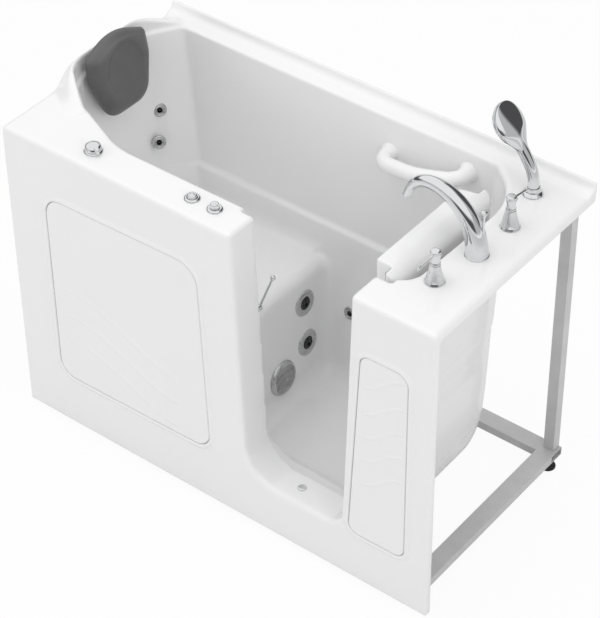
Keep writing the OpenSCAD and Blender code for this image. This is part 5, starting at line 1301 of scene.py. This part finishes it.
def set_world():
    """White for the camera and for reflections, a plain level for the light."""
    scene.world = bpy.data.worlds.new("studio")
    node, link = node_tools(scene.world)
    mix = node("MixShader")
    lit, seen = node("Background", Strength=WORLD_LIGHT), node("Background", Strength=1.0)
    lit.inputs["Color"].default_value = seen.inputs["Color"].default_value = (1, 1, 1, 1)
    path, first, second = node("LightPath"), node("Math"), node("Math")
    first.operation = second.operation = "MAXIMUM"
    link(path.outputs["Is Camera Ray"], first.inputs[0])
    link(path.outputs["Is Glossy Ray"], first.inputs[1])
    link(first.outputs[0], second.inputs[0])
    link(path.outputs["Is Transmission Ray"], second.inputs[1])
    blend(link, mix, second.outputs[0], lit, seen, node("OutputWorld"))


def blend(link, mix, share, first, second, out):
    link(share, mix.inputs["Fac"])
    link(first.outputs[0], mix.inputs[1])
    link(second.outputs[0], mix.inputs[2])
    link(mix.outputs[0], out.inputs["Surface"])


def stage_object(name, verts, faces):
    """A stage mesh with a new material, and that material's node tools."""
    me = bpy.data.meshes.new(name)
    me.from_pydata(verts, [], faces)
    me.materials.append(bpy.data.materials.new(name))
    ob = add_object(name, me)
    return ob, *node_tools(me.materials[0])


def add_floor():
    s = 14.0
    _, node, link = stage_object("floor", [(-s, -s, 0), (s, -s, 0), (s, s, 0), (-s, s, 0)], [(0, 1, 2, 3)])
    matt = node("BsdfDiffuse", Color=(FLOOR_WHITE, FLOOR_WHITE, FLOOR_WHITE, 1))
    glow = node("Emission", Strength=1.0)
    share = node("Math")
    share.operation = "MULTIPLY"
    share.inputs[1].default_value = FLOOR_SHARE
    link(node("LightPath").outputs["Is Camera Ray"], share.inputs[0])
    blend(link, node("MixShader"), share.outputs[0], matt, glow, node("OutputMaterial"))


def add_lamp(name, at, aim, size, power):
    data = bpy.data.lights.new(name, "AREA")
    data.shape, data.size, data.energy = "DISK", size, power
    ob = add_object(name, data)
    ob.location = at
    ob.rotation_euler = (Vector(aim) - Vector(at)).to_track_quat("-Z", "Y").to_euler()
    ob.visible_glossy = False


def add_reflections():
    """A soft dark sky that only polished surfaces see, for the deep tones in the chrome."""
    radius, n, rows = 5.5, 64, 24
    verts, faces = [], []
    for k in range(rows + 1):
        e = radians(lerp(-6.0, 86.0, k / rows))
        verts += [(radius * cos(e) * cos(2 * pi * i / n), radius * cos(e) * sin(2 * pi * i / n),
            radius * sin(e)) for i in range(n)]
    for k in range(rows):
        faces += [(k * n + i, k * n + (i + 1) % n, (k + 1) * n + (i + 1) % n, (k + 1) * n + i)
            for i in range(n)]
    ob, node, link = stage_object("dark_sky", verts, faces)
    ob.location = (0, 0, 0.9)

    def maths(operation, *values):
        n = node("Math")
        n.operation = operation
        for socket, v in zip(n.inputs, values):
            if isinstance(v, (int, float)):
                socket.default_value = v
            else:
                link(v, socket)
        return n.outputs[0]

    def fade(value, at, width):
        n = node("MapRange", From_Min=at, From_Max=at + width)
        n.interpolation_type = "SMOOTHSTEP"
        link(value, n.inputs["Value"])
        return n.outputs["Result"]

    xyz = node("SeparateXYZ")
    link(node("TexCoord").outputs["Object"], xyz.inputs[0])
    height = maths("DIVIDE", xyz.outputs["Z"], radius)
    angle = maths("ARCTAN2", xyz.outputs["Y"], xyz.outputs["X"])
    stripes = fade(maths("SINE", maths("MULTIPLY_ADD", angle, 3.0, -1.83)), -0.45, 0.6)
    tall = fade(maths("COSINE", maths("SUBTRACT", angle, radians(60))), 0.3, 0.5)
    top = maths("MULTIPLY_ADD", tall, 0.5, 0.26)
    band = maths("MULTIPLY", fade(height, -0.02, 0.1),
        maths("SUBTRACT", 1.0, fade(maths("SUBTRACT", height, top), 0.0, 0.2)))
    depth = maths("MULTIPLY", band, maths("MULTIPLY_ADD", stripes, 0.48, 0.44))
    glow = node("Emission", Color=(0.01, 0.01, 0.012, 1))
    blend(link, node("MixShader"), depth, node("BsdfTransparent"), glow, node("OutputMaterial"))
    ob.visible_camera = ob.visible_diffuse = ob.visible_shadow = ob.visible_transmission = False


def add_camera():
    data = bpy.data.cameras.new("camera")
    data.lens, data.sensor_width = LENS_MM, 36.0
    ob = add_object("camera", data)
    forward = Vector(CAMERA_LOOK).normalized()
    right = forward.cross(Vector((0, 0, 1))).normalized()
    up = right.cross(forward)
    roll = radians(CAMERA_ROLL)
    right, up = right * cos(roll) + up * sin(roll), up * cos(roll) - right * sin(roll)
    place = Matrix((right, up, -forward)).transposed().to_4x4()
    place.translation = Vector(CAMERA_AT)
    ob.matrix_world = place
    scene.camera = ob


set_world()
add_floor()
for lamp in LAMPS:
    add_lamp(*lamp)
add_reflections()
add_camera()
scene.view_settings.view_transform = "Standard"
